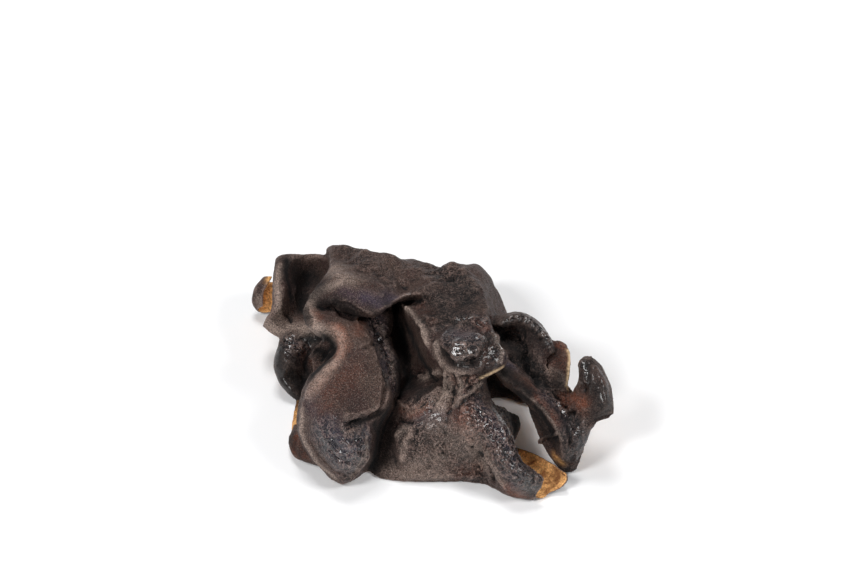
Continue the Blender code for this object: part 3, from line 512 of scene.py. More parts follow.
# Crests and grooves: a line of (across, up) points, then how far the skin is raised (below 0, pressed in)
# and the width of one side, all in millimetres.
CREASES: list[Stroke] = [
    # The tongue.
    ([(-14.2, 33.0), (-13.0, 31.0), (-11.8, 27.8), (-11.0, 24.2), (-11.0, 20.6), (-12.2, 17.8)], 0.35, 0.6),
    ([(-13.2, 33.4), (-12.0, 31.4), (-10.8, 28.2), (-9.8, 24.6), (-9.6, 21.0), (-11.0, 17.8)], -1.2, 0.5),
    ([(-17.0, 46.6), (-21.0, 43.2), (-24.2, 41.0), (-25.2, 38.8), (-25.2, 36.4), (-23.8, 34.2),
      (-21.0, 32.6), (-18.6, 31.2)], 0.3, 0.8),
    ([(-19.2, 28.0), (-22.6, 25.0), (-25.2, 21.4), (-26.2, 17.4), (-26.4, 13.4), (-25.4, 10.2),
      (-23.0, 7.2), (-20.2, 4.6)], 0.35, 0.7),
    ([(-22.2, 37.8), (-19.8, 37.4), (-17.0, 36.0)], -0.8, 1.9),
    ([(-19.8, 34.2), (-17.0, 33.0)], -0.4, 1.6),
    ([(-19.8, 39.4), (-16.6, 38.6), (-13.8, 36.4), (-11.4, 36.2), (-9.0, 37.6)], -0.35, 0.6),
    ([(-17.0, 14.6), (-15.0, 15.4), (-13.0, 16.2), (-10.6, 17.0)], -1.5, 0.7),
    ([(-17.0, 16.8), (-14.6, 17.4), (-11.8, 18.4)], 0.5, 0.9),
    ([(-19.0, 17.0), (-19.6, 15.4), (-19.0, 13.8)], -0.35, 0.6),
    ([(-19.8, 12.2), (-18.6, 9.4), (-16.6, 7.8)], -0.4, 1.2),
    ([(-20.2, 12.0), (-18.4, 10.2), (-16.0, 9.6)], -0.3, 0.35),
    ([(-20.8, 10.2), (-18.6, 8.0), (-15.8, 7.4)], -0.3, 0.35),
    ([(-18.6, 13.2), (-16.8, 11.8), (-14.8, 12.2)], -0.3, 0.35),
    ([(-17.2, 11.4), (-16.4, 9.4), (-16.8, 7.0)], 0.25, 0.35),
    ([(-13.4, 14.6), (-12.8, 12.2), (-13.4, 9.4), (-14.6, 6.6), (-16.6, 4.2)], 0.55, 0.6),
    ([(-24.6, 11.4), (-22.6, 8.2), (-19.8, 5.8), (-17.8, 4.8)], -0.3, 0.4),
    # The fold right of the tongue, with its thin dark blade.
    ([(-11.0, 37.4), (-9.4, 38.6), (-7.8, 39.6), (-5.8, 40.4), (-3.4, 40.6)], 0.55, 0.45),
    ([(-11.4, 38.8), (-8.6, 40.4), (-6.2, 41.4)], -0.4, 0.8),
    ([(-15.8, 42.6), (-12.6, 41.0), (-10.2, 40.0)], 0.35, 0.9),
    ([(-15.0, 29.4), (-12.6, 30.8), (-10.4, 31.4), (-8.8, 32.8)], -0.6, 0.45),
    ([(-12.6, 35.8), (-11.6, 33.4), (-11.0, 31.4)], 0.3, 0.5),
    ([(-10.8, 29.0), (-9.4, 26.2), (-8.6, 23.4)], 0.35, 0.5),
    ([(-13.0, 34.0), (-11.4, 34.8), (-9.6, 34.0)], -0.35, 0.3),
    ([(-12.2, 32.0), (-10.8, 32.8), (-9.2, 32.0)], -0.35, 0.3),
    ([(-10.4, 28.0), (-8.6, 29.0)], -0.35, 0.3),
    ([(-9.8, 26.0), (-8.0, 27.2)], -0.35, 0.3),
    ([(-9.4, 23.8), (-7.6, 25.2)], -0.35, 0.3),
    # The upper sheet: its left ridge, the shining bulge in a ring, the hollow and the thin rim.
    ([(-6.2, 38.2), (-4.6, 36.8), (-3.0, 34.6), (-1.8, 32.4), (-1.2, 30.2), (-0.4, 28.2)], 0.7, 0.6),
    ([(-4.8, 37.8), (-3.0, 36.2), (-1.4, 33.8), (-0.4, 31.4)], -0.35, 0.7),
    ([(3.2, 31.4), (5.6, 30.6), (8.0, 31.4)], 1.7, 2.7),
    ([(3.0, 29.0), (5.4, 28.0), (7.8, 29.2)], 0.4, 1.6),
    ([(3.0, 32.6), (5.0, 33.2), (7.0, 32.4)], 0.4, 1.4),
    ([(1.6, 29.4), (3.0, 27.6), (5.4, 26.8), (7.8, 27.4)], -1.1, 0.8),
    ([(7.8, 27.4), (9.4, 28.8), (9.8, 30.4)], -0.6, 0.9),
    ([(2.2, 33.4), (1.0, 31.8), (1.0, 30.2)], -0.3, 0.9),
    ([(0.2, 30.2), (0.8, 27.6), (2.6, 25.8), (5.4, 25.2), (8.2, 25.8), (10.6, 27.4)], 0.45, 0.8),
    ([(8.6, 34.6), (9.8, 33.2), (10.2, 31.8)], -1.0, 1.3),
    ([(5.4, 35.0), (7.0, 36.0), (8.8, 36.6), (9.8, 35.8)], 0.5, 0.6),
    ([(10.8, 33.2), (12.2, 31.4), (13.0, 29.4), (12.8, 27.2)], 0.8, 0.45),
    ([(11.2, 30.0), (11.2, 28.0), (10.0, 26.2)], -0.7, 1.0),
    ([(8.6, 24.0), (11.0, 25.0), (13.6, 26.4)], 0.4, 0.4),
    ([(-1.4, 39.4), (2.2, 38.2), (6.6, 38.8)], -0.4, 0.8),
    ([(1.0, 35.8), (3.4, 35.0), (5.8, 35.8), (8.2, 35.0)], -0.5, 0.5),
    ([(2.2, 34.6), (4.6, 34.0), (7.0, 34.4)], 0.35, 0.4),
    ([(0.2, 32.6), (-1.0, 30.6), (-0.6, 28.6)], -0.35, 0.6),
    ([(5.4, 33.4), (7.8, 33.2), (9.4, 31.8)], -0.45, 0.4),
    ([(-2.2, 36.2), (1.4, 35.2), (4.6, 36.6)], 0.35, 0.7),
    ([(-1.0, 33.4), (1.0, 34.2), (3.4, 33.6)], 0.3, 0.6),
    # The waist: upright folds, a deep crease and the lit lip at its left.
    ([(-3.0, 23.6), (-1.4, 24.4), (0.4, 25.2)], 0.9, 0.7),
    ([(-2.6, 22.2), (-0.2, 23.2), (1.6, 24.2)], -0.7, 0.6),
    ([(2.2, 25.0), (2.2, 22.4), (1.6, 20.0), (-0.2, 17.8)], 0.6, 0.5),
    ([(3.6, 24.6), (3.6, 21.8), (3.0, 19.4), (2.2, 17.2)], -1.0, 0.45),
    ([(4.8, 25.0), (5.0, 22.6), (4.4, 20.0)], 0.6, 0.5),
    ([(6.2, 24.6), (6.6, 22.2)], -0.4, 0.5),
    ([(9.0, 23.0), (6.8, 21.2), (4.6, 19.8), (3.0, 18.4)], 0.5, 0.35),
    ([(8.2, 21.2), (6.2, 19.8), (4.6, 18.4)], -0.35, 0.5),
    ([(-7.0, 19.0), (-5.4, 18.0), (-3.4, 18.6), (-1.4, 20.2), (0.6, 21.6)], 0.7, 0.55),
    ([(-6.2, 17.6), (-4.2, 17.8), (-2.2, 19.0)], -0.4, 0.3),
    ([(0.4, 19.4), (-1.4, 17.4), (-3.4, 15.8)], -0.3, 0.5),
    # The body: an upright ridge, soft folds and the crease beside the right arm.
    ([(-7.6, 12.8), (-6.2, 14.2), (-4.8, 13.6), (-5.8, 11.0), (-6.4, 7.8)], 0.5, 0.9),
    ([(-4.0, 13.6), (-4.0, 11.2), (-4.8, 8.2)], -0.45, 0.8),
    ([(-8.2, 14.4), (-7.0, 15.4), (-4.8, 15.2)], -0.7, 0.6),
    ([(-8.8, 11.8), (-8.8, 8.8), (-8.0, 6.4)], -0.9, 1.4),
    ([(-1.6, 11.4), (-2.2, 9.0), (-1.4, 6.6)], -0.2, 0.9),
    ([(0.0, 11.2), (0.6, 9.0), (-0.4, 6.8)], 0.4, 0.6),
    ([(0.6, 7.4), (-0.8, 6.0), (-2.4, 5.2)], 0.35, 0.3),
    ([(2.2, 12.0), (1.8, 9.6), (2.8, 7.4)], -0.15, 0.8),
    ([(5.4, 11.8), (7.6, 10.2), (9.6, 9.0)], -0.25, 0.35),
    ([(6.2, 12.8), (8.6, 11.4), (10.6, 10.0)], -0.2, 0.35),
    ([(7.8, 10.4), (9.6, 8.2), (10.8, 5.8), (11.4, 3.6)], -0.9, 0.55),
    ([(9.4, 10.0), (11.0, 7.4), (12.4, 4.8), (14.0, 2.4)], 0.45, 0.55),
    ([(3.4, 18.6), (2.2, 16.2), (2.2, 13.4)], -0.35, 0.7),
    ([(6.6, 17.0), (7.0, 13.8)], 0.5, 2.0),
    ([(7.8, 18.6), (11.0, 14.6), (13.4, 10.6), (15.8, 6.2)], -0.3, 0.3),
    ([(9.8, 19.0), (12.6, 15.4), (14.2, 11.4), (16.6, 7.0)], 0.3, 0.3),
    ([(-6.2, 4.6), (-1.0, 4.4), (4.2, 4.6), (9.0, 4.6)], 0.3, 0.7),
    ([(13.0, 19.4), (14.4, 16.6), (15.0, 13.4)], 0.4, 0.8),
    ([(11.4, 15.4), (13.0, 12.6), (13.6, 9.4)], -0.35, 0.7),
    ([(16.0, 5.4), (18.2, 3.4), (19.0, 1.4)], -0.4, 0.8),
    # The ribbed rim of the crest, the hollow inside it and its long crease.
    ([(13.6, 34.2), (14.2, 35.6)], -0.35, 0.3),
    ([(15.2, 34.6), (15.2, 36.2)], -0.35, 0.3),
    ([(16.6, 34.4), (17.0, 36.0)], -0.35, 0.3),
    ([(17.8, 34.0), (18.6, 35.6)], -0.35, 0.3),
    ([(18.8, 33.2), (20.0, 34.8)], -0.35, 0.3),
    ([(19.8, 32.4), (21.2, 33.8)], -0.35, 0.3),
    ([(20.6, 31.4), (22.2, 32.4)], -0.35, 0.3),
    ([(21.2, 30.2), (23.0, 30.8)], -0.35, 0.3),
    ([(15.4, 33.4), (16.2, 32.0)], -0.6, 1.4),
    ([(13.6, 31.8), (14.8, 31.0), (16.2, 30.8)], 0.5, 0.4),
    ([(17.4, 33.2), (17.8, 30.2), (18.2, 27.4), (19.2, 24.8), (20.6, 22.6)], -0.9, 0.7),
    ([(19.8, 29.4), (19.6, 27.0), (20.2, 25.0)], 0.35, 0.6),
    ([(22.0, 28.0), (21.2, 25.8)], -0.4, 0.5),
    ([(22.8, 26.2), (24.6, 25.0), (25.6, 23.4)], 0.4, 0.5),
    # The ribbon: a thin fold with a bright edge, the curled scrap below it and the hollow behind.
    ([(12.4, 25.2), (15.0, 23.0), (18.4, 20.4), (20.0, 19.0), (22.0, 17.0), (23.6, 14.8), (24.6, 13.0),
      (25.2, 10.6), (25.6, 8.2)], 0.6, 0.42),
    ([(14.0, 22.4), (17.0, 19.8), (19.0, 17.8), (21.0, 15.4), (22.4, 13.4)], -0.5, 0.6),
    ([(21.2, 9.6), (21.2, 11.2), (22.0, 12.6), (23.2, 12.8), (24.2, 13.4)], 0.8, 0.35),
    ([(22.6, 11.4), (23.4, 10.0)], -0.5, 0.6),
    ([(15.4, 27.8), (18.2, 25.6), (22.0, 22.8), (25.0, 20.0), (26.8, 16.6)], -0.7, 0.8),
    ([(13.6, 29.0), (14.6, 27.2), (16.2, 25.8)], 0.4, 0.7),
    ([(22.0, 21.0), (24.2, 19.0), (26.2, 16.6)], 0.35, 0.5),
    # The outer lobe: a rolled left edge, then steps down to the foot.
    ([(28.6, 22.4), (28.6, 25.2), (29.2, 27.2), (30.6, 27.8)], 0.5, 0.5),
    ([(30.0, 26.6), (30.0, 24.0), (29.4, 21.6)], -0.7, 0.7),
    ([(31.8, 25.8), (33.0, 22.4), (33.2, 19.4)], 0.3, 1.0),
    ([(34.2, 16.6), (32.2, 16.0), (30.2, 15.0)], -0.5, 0.5),
    ([(25.0, 18.6), (27.4, 17.2), (30.0, 16.2)], -0.5, 0.6),
    ([(26.2, 21.8), (27.4, 20.2), (27.0, 18.6)], -0.4, 0.6),
    ([(28.4, 14.6), (28.8, 11.8), (28.0, 9.0)], -0.4, 0.5),
    ([(26.8, 15.4), (27.2, 12.2), (26.6, 9.0)], 0.4, 0.5),
    # The left channel, the cup below it and the dark holes between cup and tongue.
    ([(-28.8, 41.8), (-28.4, 38.6), (-27.6, 35.8)], 0.35, 0.7),
    ([(-26.4, 38.2), (-25.2, 36.6), (-23.4, 35.8)], 0.3, 0.5),
    ([(-30.4, 47.0), (-30.8, 42.4), (-30.4, 37.8), (-29.0, 35.0)], -0.3, 0.7),
    ([(-30.4, 31.2), (-28.6, 30.8), (-26.4, 31.4)], -0.6, 0.5),
    ([(-29.8, 29.4), (-27.8, 29.0), (-26.2, 30.2)], 0.35, 0.6),
    ([(-29.4, 27.0), (-27.6, 26.0), (-26.0, 24.0)], 0.45, 0.45),
    ([(-29.0, 23.8), (-27.8, 21.8), (-26.6, 20.8)], -0.8, 1.5),
    ([(-24.8, 27.4), (-23.8, 29.4), (-22.6, 30.8), (-21.4, 32.2)], 0.9, 0.35),
    ([(-23.2, 27.4), (-21.8, 29.4), (-20.4, 30.8)], -0.9, 0.7),
    ([(-27.8, 12.2), (-28.0, 9.4)], -0.35, 0.6),
    # The hidden top.
    ([(-18.2, 49.8), (-15.0, 47.0), (-10.6, 44.2), (-6.6, 42.6)], -1.3, 2.6),
    ([(-12.6, 50.2), (-7.8, 47.0), (-3.0, 44.2), (0.2, 41.4)], 1.0, 2.2),
    ([(-6.2, 49.8), (-1.4, 47.0), (3.4, 44.2), (6.2, 41.0)], -1.3, 2.4),
    ([(1.8, 47.0), (6.2, 44.2), (8.6, 41.0), (9.8, 38.2)], 0.9, 2.0),
    ([(-21.0, 47.0), (-19.0, 43.8), (-16.6, 41.8)], 0.6, 1.8),
    ([(-19.4, 49.0), (-15.8, 47.0), (-11.4, 45.8), (-6.6, 46.6)], -0.7, 1.6),
    ([(-17.0, 44.6), (-13.4, 43.2), (-9.4, 42.6), (-6.2, 43.4)], 0.5, 1.2),
    ([(-14.6, 49.4), (-10.2, 48.2), (-5.4, 49.4)], 0.45, 1.0),
    ([(-2.0, 41.0), (2.4, 42.2), (7.0, 41.4)], 0.45, 1.2),
    ([(-3.4, 44.2), (0.6, 45.4), (4.6, 44.2), (7.8, 45.0)], -0.6, 1.3),
    ([(-1.0, 47.8), (3.4, 47.0), (7.4, 47.8)], 0.4, 0.9),
    ([(-7.4, 44.2), (-5.0, 42.2), (-2.2, 42.6)], -0.5, 1.0),
    ([(8.6, 41.0), (9.4, 38.6), (9.0, 37.0)], -0.45, 0.8),
]

# Where each tint is brushed on: a line of (across, up) points, its width in millimetres and its strength.
BRUSHES: dict[Tint, list[Stroke]] = {
    # Shining places.
    Tint.GLOSS: [
        ([(2.2, 32.6), (5.4, 30.8), (9.0, 32.2)], 3.4, 1.0),
        ([(9.0, 33.4), (11.4, 30.6), (10.6, 27.4)], 2.0, 0.5),
        ([(10.6, 33.4), (12.0, 31.4), (12.8, 29.4)], 0.8, 1.0),
        ([(3.4, 29.0), (5.8, 28.6)], 1.8, 0.9),
        ([(-12.6, 35.8), (-11.4, 33.0), (-10.6, 30.8)], 2.2, 1.0),
        ([(-10.2, 29.4), (-9.0, 26.2), (-8.4, 22.6)], 2.0, 1.0),
        ([(-20.6, 11.4), (-17.8, 8.6), (-14.6, 10.2)], 3.2, 0.9),
        ([(13.8, 35.2), (15.4, 36.0), (17.4, 35.8), (19.4, 35.0), (21.2, 33.4), (22.6, 31.4)], 1.1, 0.9),
        ([(13.6, 29.4), (14.6, 27.4), (16.2, 26.2)], 1.4, 0.7),
        ([(22.0, 21.0), (24.2, 19.0), (25.8, 17.0)], 1.4, 0.8),
        ([(29.0, 26.6), (29.6, 24.6), (29.4, 22.2)], 1.3, 1.0),
        ([(27.4, 14.6), (28.8, 11.4), (27.8, 8.6)], 1.8, 0.8),
        ([(32.2, 25.0), (33.6, 21.4), (33.4, 18.2)], 1.8, 0.4),
        ([(9.0, 17.0), (11.8, 13.4), (14.2, 9.8), (16.6, 6.2)], 3.4, 0.7),
        ([(13.0, 16.6), (14.6, 12.6), (15.6, 9.4), (17.0, 6.6)], 2.0, 0.9),
        ([(-21.4, 14.2), (-19.4, 11.4), (-16.6, 7.0)], 2.8, 0.6),
        ([(-31.8, 28.2), (-31.6, 25.4), (-30.2, 21.8)], 2.0, 0.5),
        ([(-1.0, 17.4), (2.2, 16.6), (5.0, 17.8)], 2.4, 0.4),
        ([(17.0, 4.6), (19.0, 2.2)], 2.2, 0.9),
        ([(-29.8, 30.6), (-28.2, 29.4), (-26.4, 30.2)], 1.8, 0.8),
        ([(-30.4, 25.8), (-29.4, 22.6)], 1.3, 0.4),
        ([(-7.4, 39.4), (-5.0, 40.4)], 0.8, 0.6),
        ([(9.4, 19.0), (11.8, 17.0)], 1.6, 0.5),
        ([(5.4, 35.8), (7.8, 36.4)], 1.0, 0.5),
    ],
    # Wrinkled places.
    Tint.WRINKLED: [
        ([(-12.6, 35.8), (-11.4, 33.0), (-10.8, 31.0), (-9.8, 28.2), (-8.8, 25.4), (-8.4, 22.6)], 2.6, 1.0),
        ([(-21.8, 13.4), (-20.2, 10.2), (-17.4, 7.8), (-14.6, 10.2), (-16.2, 13.4)], 3.2, 0.8),
        ([(-17.8, 6.2), (-16.6, 4.6)], 2.0, 0.4),
        ([(2.6, 31.4), (5.4, 30.2), (8.2, 31.0), (7.0, 28.6), (4.2, 28.6)], 3.0, 0.7),
        ([(0.2, 35.8), (4.2, 35.4), (8.2, 34.6)], 3.6, 0.7),
        ([(-3.0, 38.2), (1.0, 39.0), (6.2, 39.0)], 3.6, 0.5),
        ([(9.8, 32.6), (11.8, 30.2), (11.8, 27.4)], 2.6, 0.7),
        ([(1.8, 24.2), (3.0, 21.0), (5.4, 22.6), (7.8, 23.4)], 3.2, 1.0),
        ([(-5.0, 18.6), (-2.2, 19.8), (0.6, 20.2)], 3.0, 0.8),
        ([(7.0, 19.4), (9.0, 15.4), (11.0, 11.4), (13.0, 7.8), (15.4, 4.6)], 5.0, 0.9),
        ([(13.0, 17.4), (14.6, 13.4), (15.8, 9.4), (18.2, 4.2)], 4.0, 0.8),
        ([(-6.2, 13.4), (-3.0, 11.4), (0.6, 9.4), (4.2, 7.0), (7.8, 6.2)], 4.4, 0.7),
        ([(2.2, 14.6), (5.0, 11.4)], 3.6, 0.5),
        ([(13.0, 33.8), (15.4, 32.2), (17.4, 29.4), (19.0, 25.8), (20.6, 23.4)], 3.0, 0.8),
        ([(13.8, 35.2), (17.4, 35.8), (21.2, 33.4), (23.0, 30.6)], 1.6, 0.5),
        ([(22.0, 21.0), (24.6, 18.6), (27.0, 14.6), (28.2, 10.6), (27.4, 7.4)], 3.2, 0.8),
        ([(30.2, 26.2), (33.0, 22.2), (33.4, 18.2)], 2.6, 0.4),
        ([(-29.8, 30.6), (-27.8, 29.4), (-26.2, 30.2)], 2.6, 0.9),
        ([(17.0, 22.2), (19.4, 19.8), (22.2, 17.0)], 1.6, 0.4),
        ([(-6.2, 49.4), (-1.4, 46.6), (3.4, 43.8), (6.6, 41.0)], 4.5, 0.5),
        ([(-17.4, 49.4), (-13.8, 46.2), (-9.4, 43.4)], 3.5, 0.35),
    ],
    # Where light comes red through thin places.
    Tint.RED: [
        ([(-19.6, 33.8), (-18.6, 32.0), (-18.6, 30.0), (-19.2, 28.2)], 1.5, 1.0),
        ([(-19.0, 28.6), (-20.0, 26.6), (-21.8, 24.6), (-24.2, 21.8)], 1.3, 0.6),
        ([(-16.6, 25.0), (-19.8, 22.2), (-21.8, 18.6)], 2.6, 0.22),
        ([(-14.6, 35.0), (-15.8, 33.0)], 1.4, 0.35),
        ([(5.8, 17.8), (6.8, 15.4), (7.0, 13.0)], 3.0, 0.7),
        ([(8.6, 13.0), (10.6, 10.6), (11.4, 8.2)], 2.4, 0.35),
        ([(-6.6, 17.8), (-4.6, 17.4), (-2.2, 18.6)], 1.1, 0.9),
        ([(3.4, 24.2), (5.4, 22.6), (7.0, 23.4)], 2.0, 0.6),
        ([(1.0, 19.8), (3.4, 18.6)], 1.6, 0.4),
        ([(9.0, 34.2), (10.2, 32.6)], 1.5, 0.5),
        ([(11.0, 30.4), (10.6, 27.8), (9.0, 26.2)], 1.2, 0.35),
        ([(14.6, 33.4), (16.2, 32.0)], 1.5, 0.7),
        ([(15.4, 23.8), (19.0, 21.0), (22.2, 18.2), (24.2, 15.4)], 1.1, 0.75),
        ([(24.2, 30.2), (25.4, 29.0), (25.0, 26.6)], 2.2, 0.7),
        ([(29.0, 19.0), (27.0, 19.8), (25.4, 18.6)], 1.8, 0.75),
        ([(31.4, 26.2), (32.6, 24.2)], 1.2, 0.3),
        ([(14.0, 2.6), (16.2, 1.2)], 1.8, 0.6),
        ([(5.0, 5.4), (7.8, 6.2)], 2.0, 0.4),
        ([(-27.8, 12.2), (-27.8, 9.4), (-26.6, 8.2)], 1.6, 0.7),
        ([(-24.6, 37.0), (-23.4, 35.4)], 1.4, 0.4),
        ([(-26.4, 29.4), (-25.8, 27.4)], 1.0, 0.8),
        ([(28.0, 7.4), (28.6, 9.4)], 1.0, 0.6),
        ([(-3.0, 38.2), (-0.6, 35.8)], 1.8, 0.35),
        ([(19.8, 21.8), (17.8, 23.4)], 1.4, 0.4),
    ],
    # Purple-blue cast: partly the skin's own tone, partly painted bluish sheen.
    Tint.PURPLE: [
        ([(-21.4, 13.8), (-18.0, 9.4), (-15.0, 11.4)], 3.2, 0.95),
        ([(-23.4, 15.4), (-24.6, 19.4)], 2.0, 0.3),
        ([(-13.8, 39.8), (-11.0, 39.0), (-8.6, 39.8)], 1.8, 0.8),
        ([(8.6, 17.8), (11.8, 13.8), (14.2, 10.2), (16.6, 5.4)], 4.0, 0.8),
        ([(-12.2, 35.8), (-10.8, 31.4)], 2.2, 1.0),
        ([(-9.8, 29.0), (-8.6, 22.6)], 2.0, 1.0),
        ([(2.2, 33.0), (5.4, 32.2), (8.6, 33.0)], 3.0, 0.35),
        ([(21.0, 20.6), (24.2, 17.4), (26.2, 14.6)], 2.0, 0.7),
        ([(-2.2, 17.0), (1.0, 17.8)], 2.6, 0.4),
        ([(-16.6, 40.2), (-18.0, 41.4)], 1.6, 0.4),
        ([(-29.0, 30.2), (-27.0, 29.0)], 2.0, 0.6),
        ([(13.0, 29.0), (14.6, 27.0)], 1.6, 0.6),
        ([(27.0, 13.8), (28.4, 11.4)], 1.8, 0.6),
    ],
    # Dusty, olive-grey crests, and painted highlights along lit edges and rims.
    Tint.DUST_AND_HIGHLIGHT: [
        ([(-31.4, 46.2), (-31.8, 42.4), (-31.4, 38.4), (-30.8, 35.8)], 0.9, 1.0),
        ([(-33.4, 33.8), (-29.8, 33.6), (-26.2, 33.4), (-23.4, 33.2)], 1.9, 1.0),
        ([(-20.2, 45.8), (-17.0, 43.4)], 2.0, 0.6),
        ([(-19.0, 43.0), (-22.6, 41.4), (-24.6, 39.4), (-24.8, 36.6), (-23.0, 34.0),
          (-20.2, 32.2)], 1.1, 0.9),
        ([(-6.2, 38.0), (-4.2, 36.0), (-2.4, 33.4), (-1.6, 30.6)], 0.7, 1.0),
        ([(0.2, 30.6), (0.6, 28.0), (2.4, 25.6), (5.4, 24.8)], 1.0, 0.9),
        ([(-2.8, 23.6), (-1.0, 24.4), (1.0, 25.0)], 1.0, 0.8),
        ([(-7.4, 13.0), (-6.0, 14.0), (-5.2, 13.2), (-6.2, 10.6), (-6.6, 7.8)], 0.9, 0.55),
        ([(-7.8, 5.4), (-3.4, 6.6), (1.0, 7.8), (-0.6, 5.4)], 2.6, 0.45),
        ([(-0.2, 14.6), (2.6, 13.4), (4.2, 10.2)], 2.6, 0.35),
        ([(1.6, 24.6), (2.2, 22.2), (1.0, 19.0)], 2.0, 1.0),
        ([(4.8, 24.2), (5.0, 22.2), (4.2, 19.8)], 0.6, 0.9),
        ([(-6.6, 18.0), (-4.6, 17.6), (-2.2, 18.8)], 0.8, 0.5),
        ([(-24.6, 40.2), (-25.2, 38.6), (-24.8, 36.2), (-23.2, 34.2)], 0.8, 0.9),
        ([(-20.2, 34.0), (-18.8, 32.2), (-18.6, 30.0), (-19.2, 28.2)], 1.1, 0.8),
        ([(-19.4, 27.8), (-20.6, 26.2), (-22.6, 24.0), (-24.8, 21.2)], 1.5, 0.9),
        ([(-11.0, 34.2), (-9.4, 30.2), (-8.4, 26.6), (-8.2, 23.8)], 0.7, 0.6),
        ([(17.2, 21.6), (18.6, 20.4), (20.2, 19.0), (22.2, 16.8), (23.8, 14.6), (25.0, 12.0)], 0.26, 0.9),
        ([(21.2, 10.0), (21.2, 11.2), (22.2, 12.6), (24.2, 13.2)], 0.2, 0.6),
        ([(-7.0, 4.6), (-2.2, 4.4), (3.0, 4.6)], 1.2, 0.5),
        ([(22.8, 25.8), (24.4, 24.6), (25.4, 23.2)], 0.9, 0.5),
        ([(-26.2, 17.8), (-26.4, 13.4), (-25.4, 10.2), (-22.6, 6.8), (-19.8, 4.4)], 0.7, 0.9),
        ([(-13.4, 12.6), (-13.6, 9.8), (-14.8, 7.0), (-16.6, 4.6)], 0.4, 0.7),
        ([(2.2, 24.6), (1.8, 20.2), (-0.2, 17.8)], 0.7, 0.7),
        ([(9.0, 23.0), (6.2, 20.8), (3.4, 18.6)], 0.5, 0.8),
        ([(10.2, 9.4), (11.8, 6.2), (13.4, 3.4)], 0.9, 0.7),
        ([(6.2, 12.6), (8.2, 10.2), (9.6, 7.8)], 2.4, 0.65),
        ([(11.2, 32.8), (12.6, 30.8), (13.0, 28.6), (12.6, 27.2)], 0.45, 0.9),
        ([(12.4, 25.2), (14.0, 23.8)], 0.4, 0.8),
        ([(-36.0, 39.8), (-35.8, 38.2), (-34.4, 37.0)], 0.8, 0.7),
    ],
    # Cut edges, where the pale inside shows.
    Tint.CREAM: [
        ([(9.0, 24.0), (11.2, 25.0), (13.6, 26.4)], 0.32, 0.9),
        ([(26.4, 29.4), (26.6, 27.0), (26.4, 24.6), (26.0, 22.0)], 0.32, 1.0),
    ],
    # Felt.
    Tint.TAN: [
        ([(-33.4, 46.6), (-33.8, 44.2), (-33.4, 41.4), (-34.2, 39.0), (-35.0, 37.6)], 1.0, 1.0),
        ([(23.8, 8.2), (24.8, 7.2)], 1.0, 1.0),
    ],
    # Places that no light reaches.
    Tint.BLACK: [
        ([(-12.8, 35.0), (-11.4, 31.0), (-10.2, 27.0), (-9.4, 22.6)], 0.9, 0.6),
        ([(-7.8, 37.0), (-7.4, 31.4), (-7.0, 25.4), (-7.0, 20.2)], 1.8, 0.9),
        ([(-28.6, 45.4), (-27.0, 42.4), (-25.0, 44.4), (-23.4, 41.4), (-25.8, 39.4)], 2.4, 0.8),
        ([(-22.8, 38.2), (-20.6, 37.8), (-17.8, 36.6), (-16.0, 35.2)], 1.5, 0.3),
        ([(-28.6, 23.4), (-27.4, 21.0)], 1.8, 0.8),
        ([(-23.8, 29.2), (-22.2, 28.6), (-21.4, 27.8)], 1.3, 1.0),
        ([(-29.4, 27.0), (-28.6, 24.6), (-27.0, 22.2)], 1.8, 0.7),
        ([(-25.8, 29.0), (-26.2, 26.2), (-25.4, 24.2)], 1.2, 0.9),
        ([(-9.6, 17.0), (-11.0, 14.6), (-11.4, 10.6), (-12.2, 6.6)], 2.7, 1.0),
        ([(-9.0, 14.6), (-9.4, 11.0), (-10.2, 7.4)], 2.4, 0.7),
        ([(-15.4, 15.2), (-13.0, 16.2), (-10.6, 17.0)], 0.6, 1.0),
        ([(-25.4, 31.4), (-23.4, 31.4), (-21.0, 31.8), (-20.2, 29.4), (-21.8, 27.0),
          (-24.2, 24.6)], 1.6, 1.0),
        ([(-31.4, 29.0), (-31.4, 25.4), (-30.0, 21.8), (-27.4, 19.0)], 2.4, 0.9),
        ([(-29.0, 24.2), (-27.4, 21.8), (-26.2, 23.4)], 2.4, 0.95),
        ([(-28.6, 43.4), (-27.4, 39.4), (-25.4, 36.0)], 2.8, 0.9),
        ([(-5.4, 34.2), (-3.8, 30.2), (-2.0, 26.6), (-0.6, 24.2)], 1.5, 1.0),
        ([(-6.6, 33.4), (-6.2, 27.4), (-5.2, 21.8)], 2.0, 1.0),
        ([(-1.0, 37.0), (3.0, 37.0), (7.0, 38.6)], 4.0, 0.6),
        ([(1.6, 29.0), (3.4, 27.2), (6.2, 26.2), (9.0, 27.8)], 0.8, 0.8),
        ([(1.8, 32.2), (3.4, 34.2), (6.2, 34.6), (8.6, 33.4)], 0.6, 0.6),
        ([(16.8, 9.0), (17.6, 7.0), (19.0, 5.0)], 1.4, 0.45),
        ([(0.2, 41.0), (4.6, 41.4), (7.8, 40.2)], 3.4, 0.4),
        ([(-16.6, 23.8), (-17.8, 20.2), (-16.6, 17.8)], 4.0, 0.25),
        ([(13.0, 33.4), (15.4, 30.2), (18.2, 26.6), (20.6, 23.0)], 3.2, 0.85),
        ([(13.0, 34.4), (15.4, 35.6), (17.8, 35.4), (20.0, 34.2), (21.8, 32.2), (23.0, 29.4)], 1.8, 0.6),
        ([(16.6, 33.8), (19.8, 31.8), (22.0, 28.6)], 2.4, 0.7),
        ([(23.0, 30.2), (24.6, 27.4), (24.6, 23.4)], 2.4, 0.8),
        ([(29.4, 26.6), (31.4, 22.6), (33.4, 19.0), (32.2, 16.6)], 3.0, 0.75),
        ([(24.2, 17.0), (27.4, 13.4), (28.6, 9.8), (27.0, 5.8)], 3.2, 0.65),
        ([(13.8, 24.8), (16.2, 23.0), (18.4, 21.4)], 2.5, 1.0),
        ([(19.0, 20.6), (22.6, 18.2), (25.4, 15.8)], 1.8, 0.5),
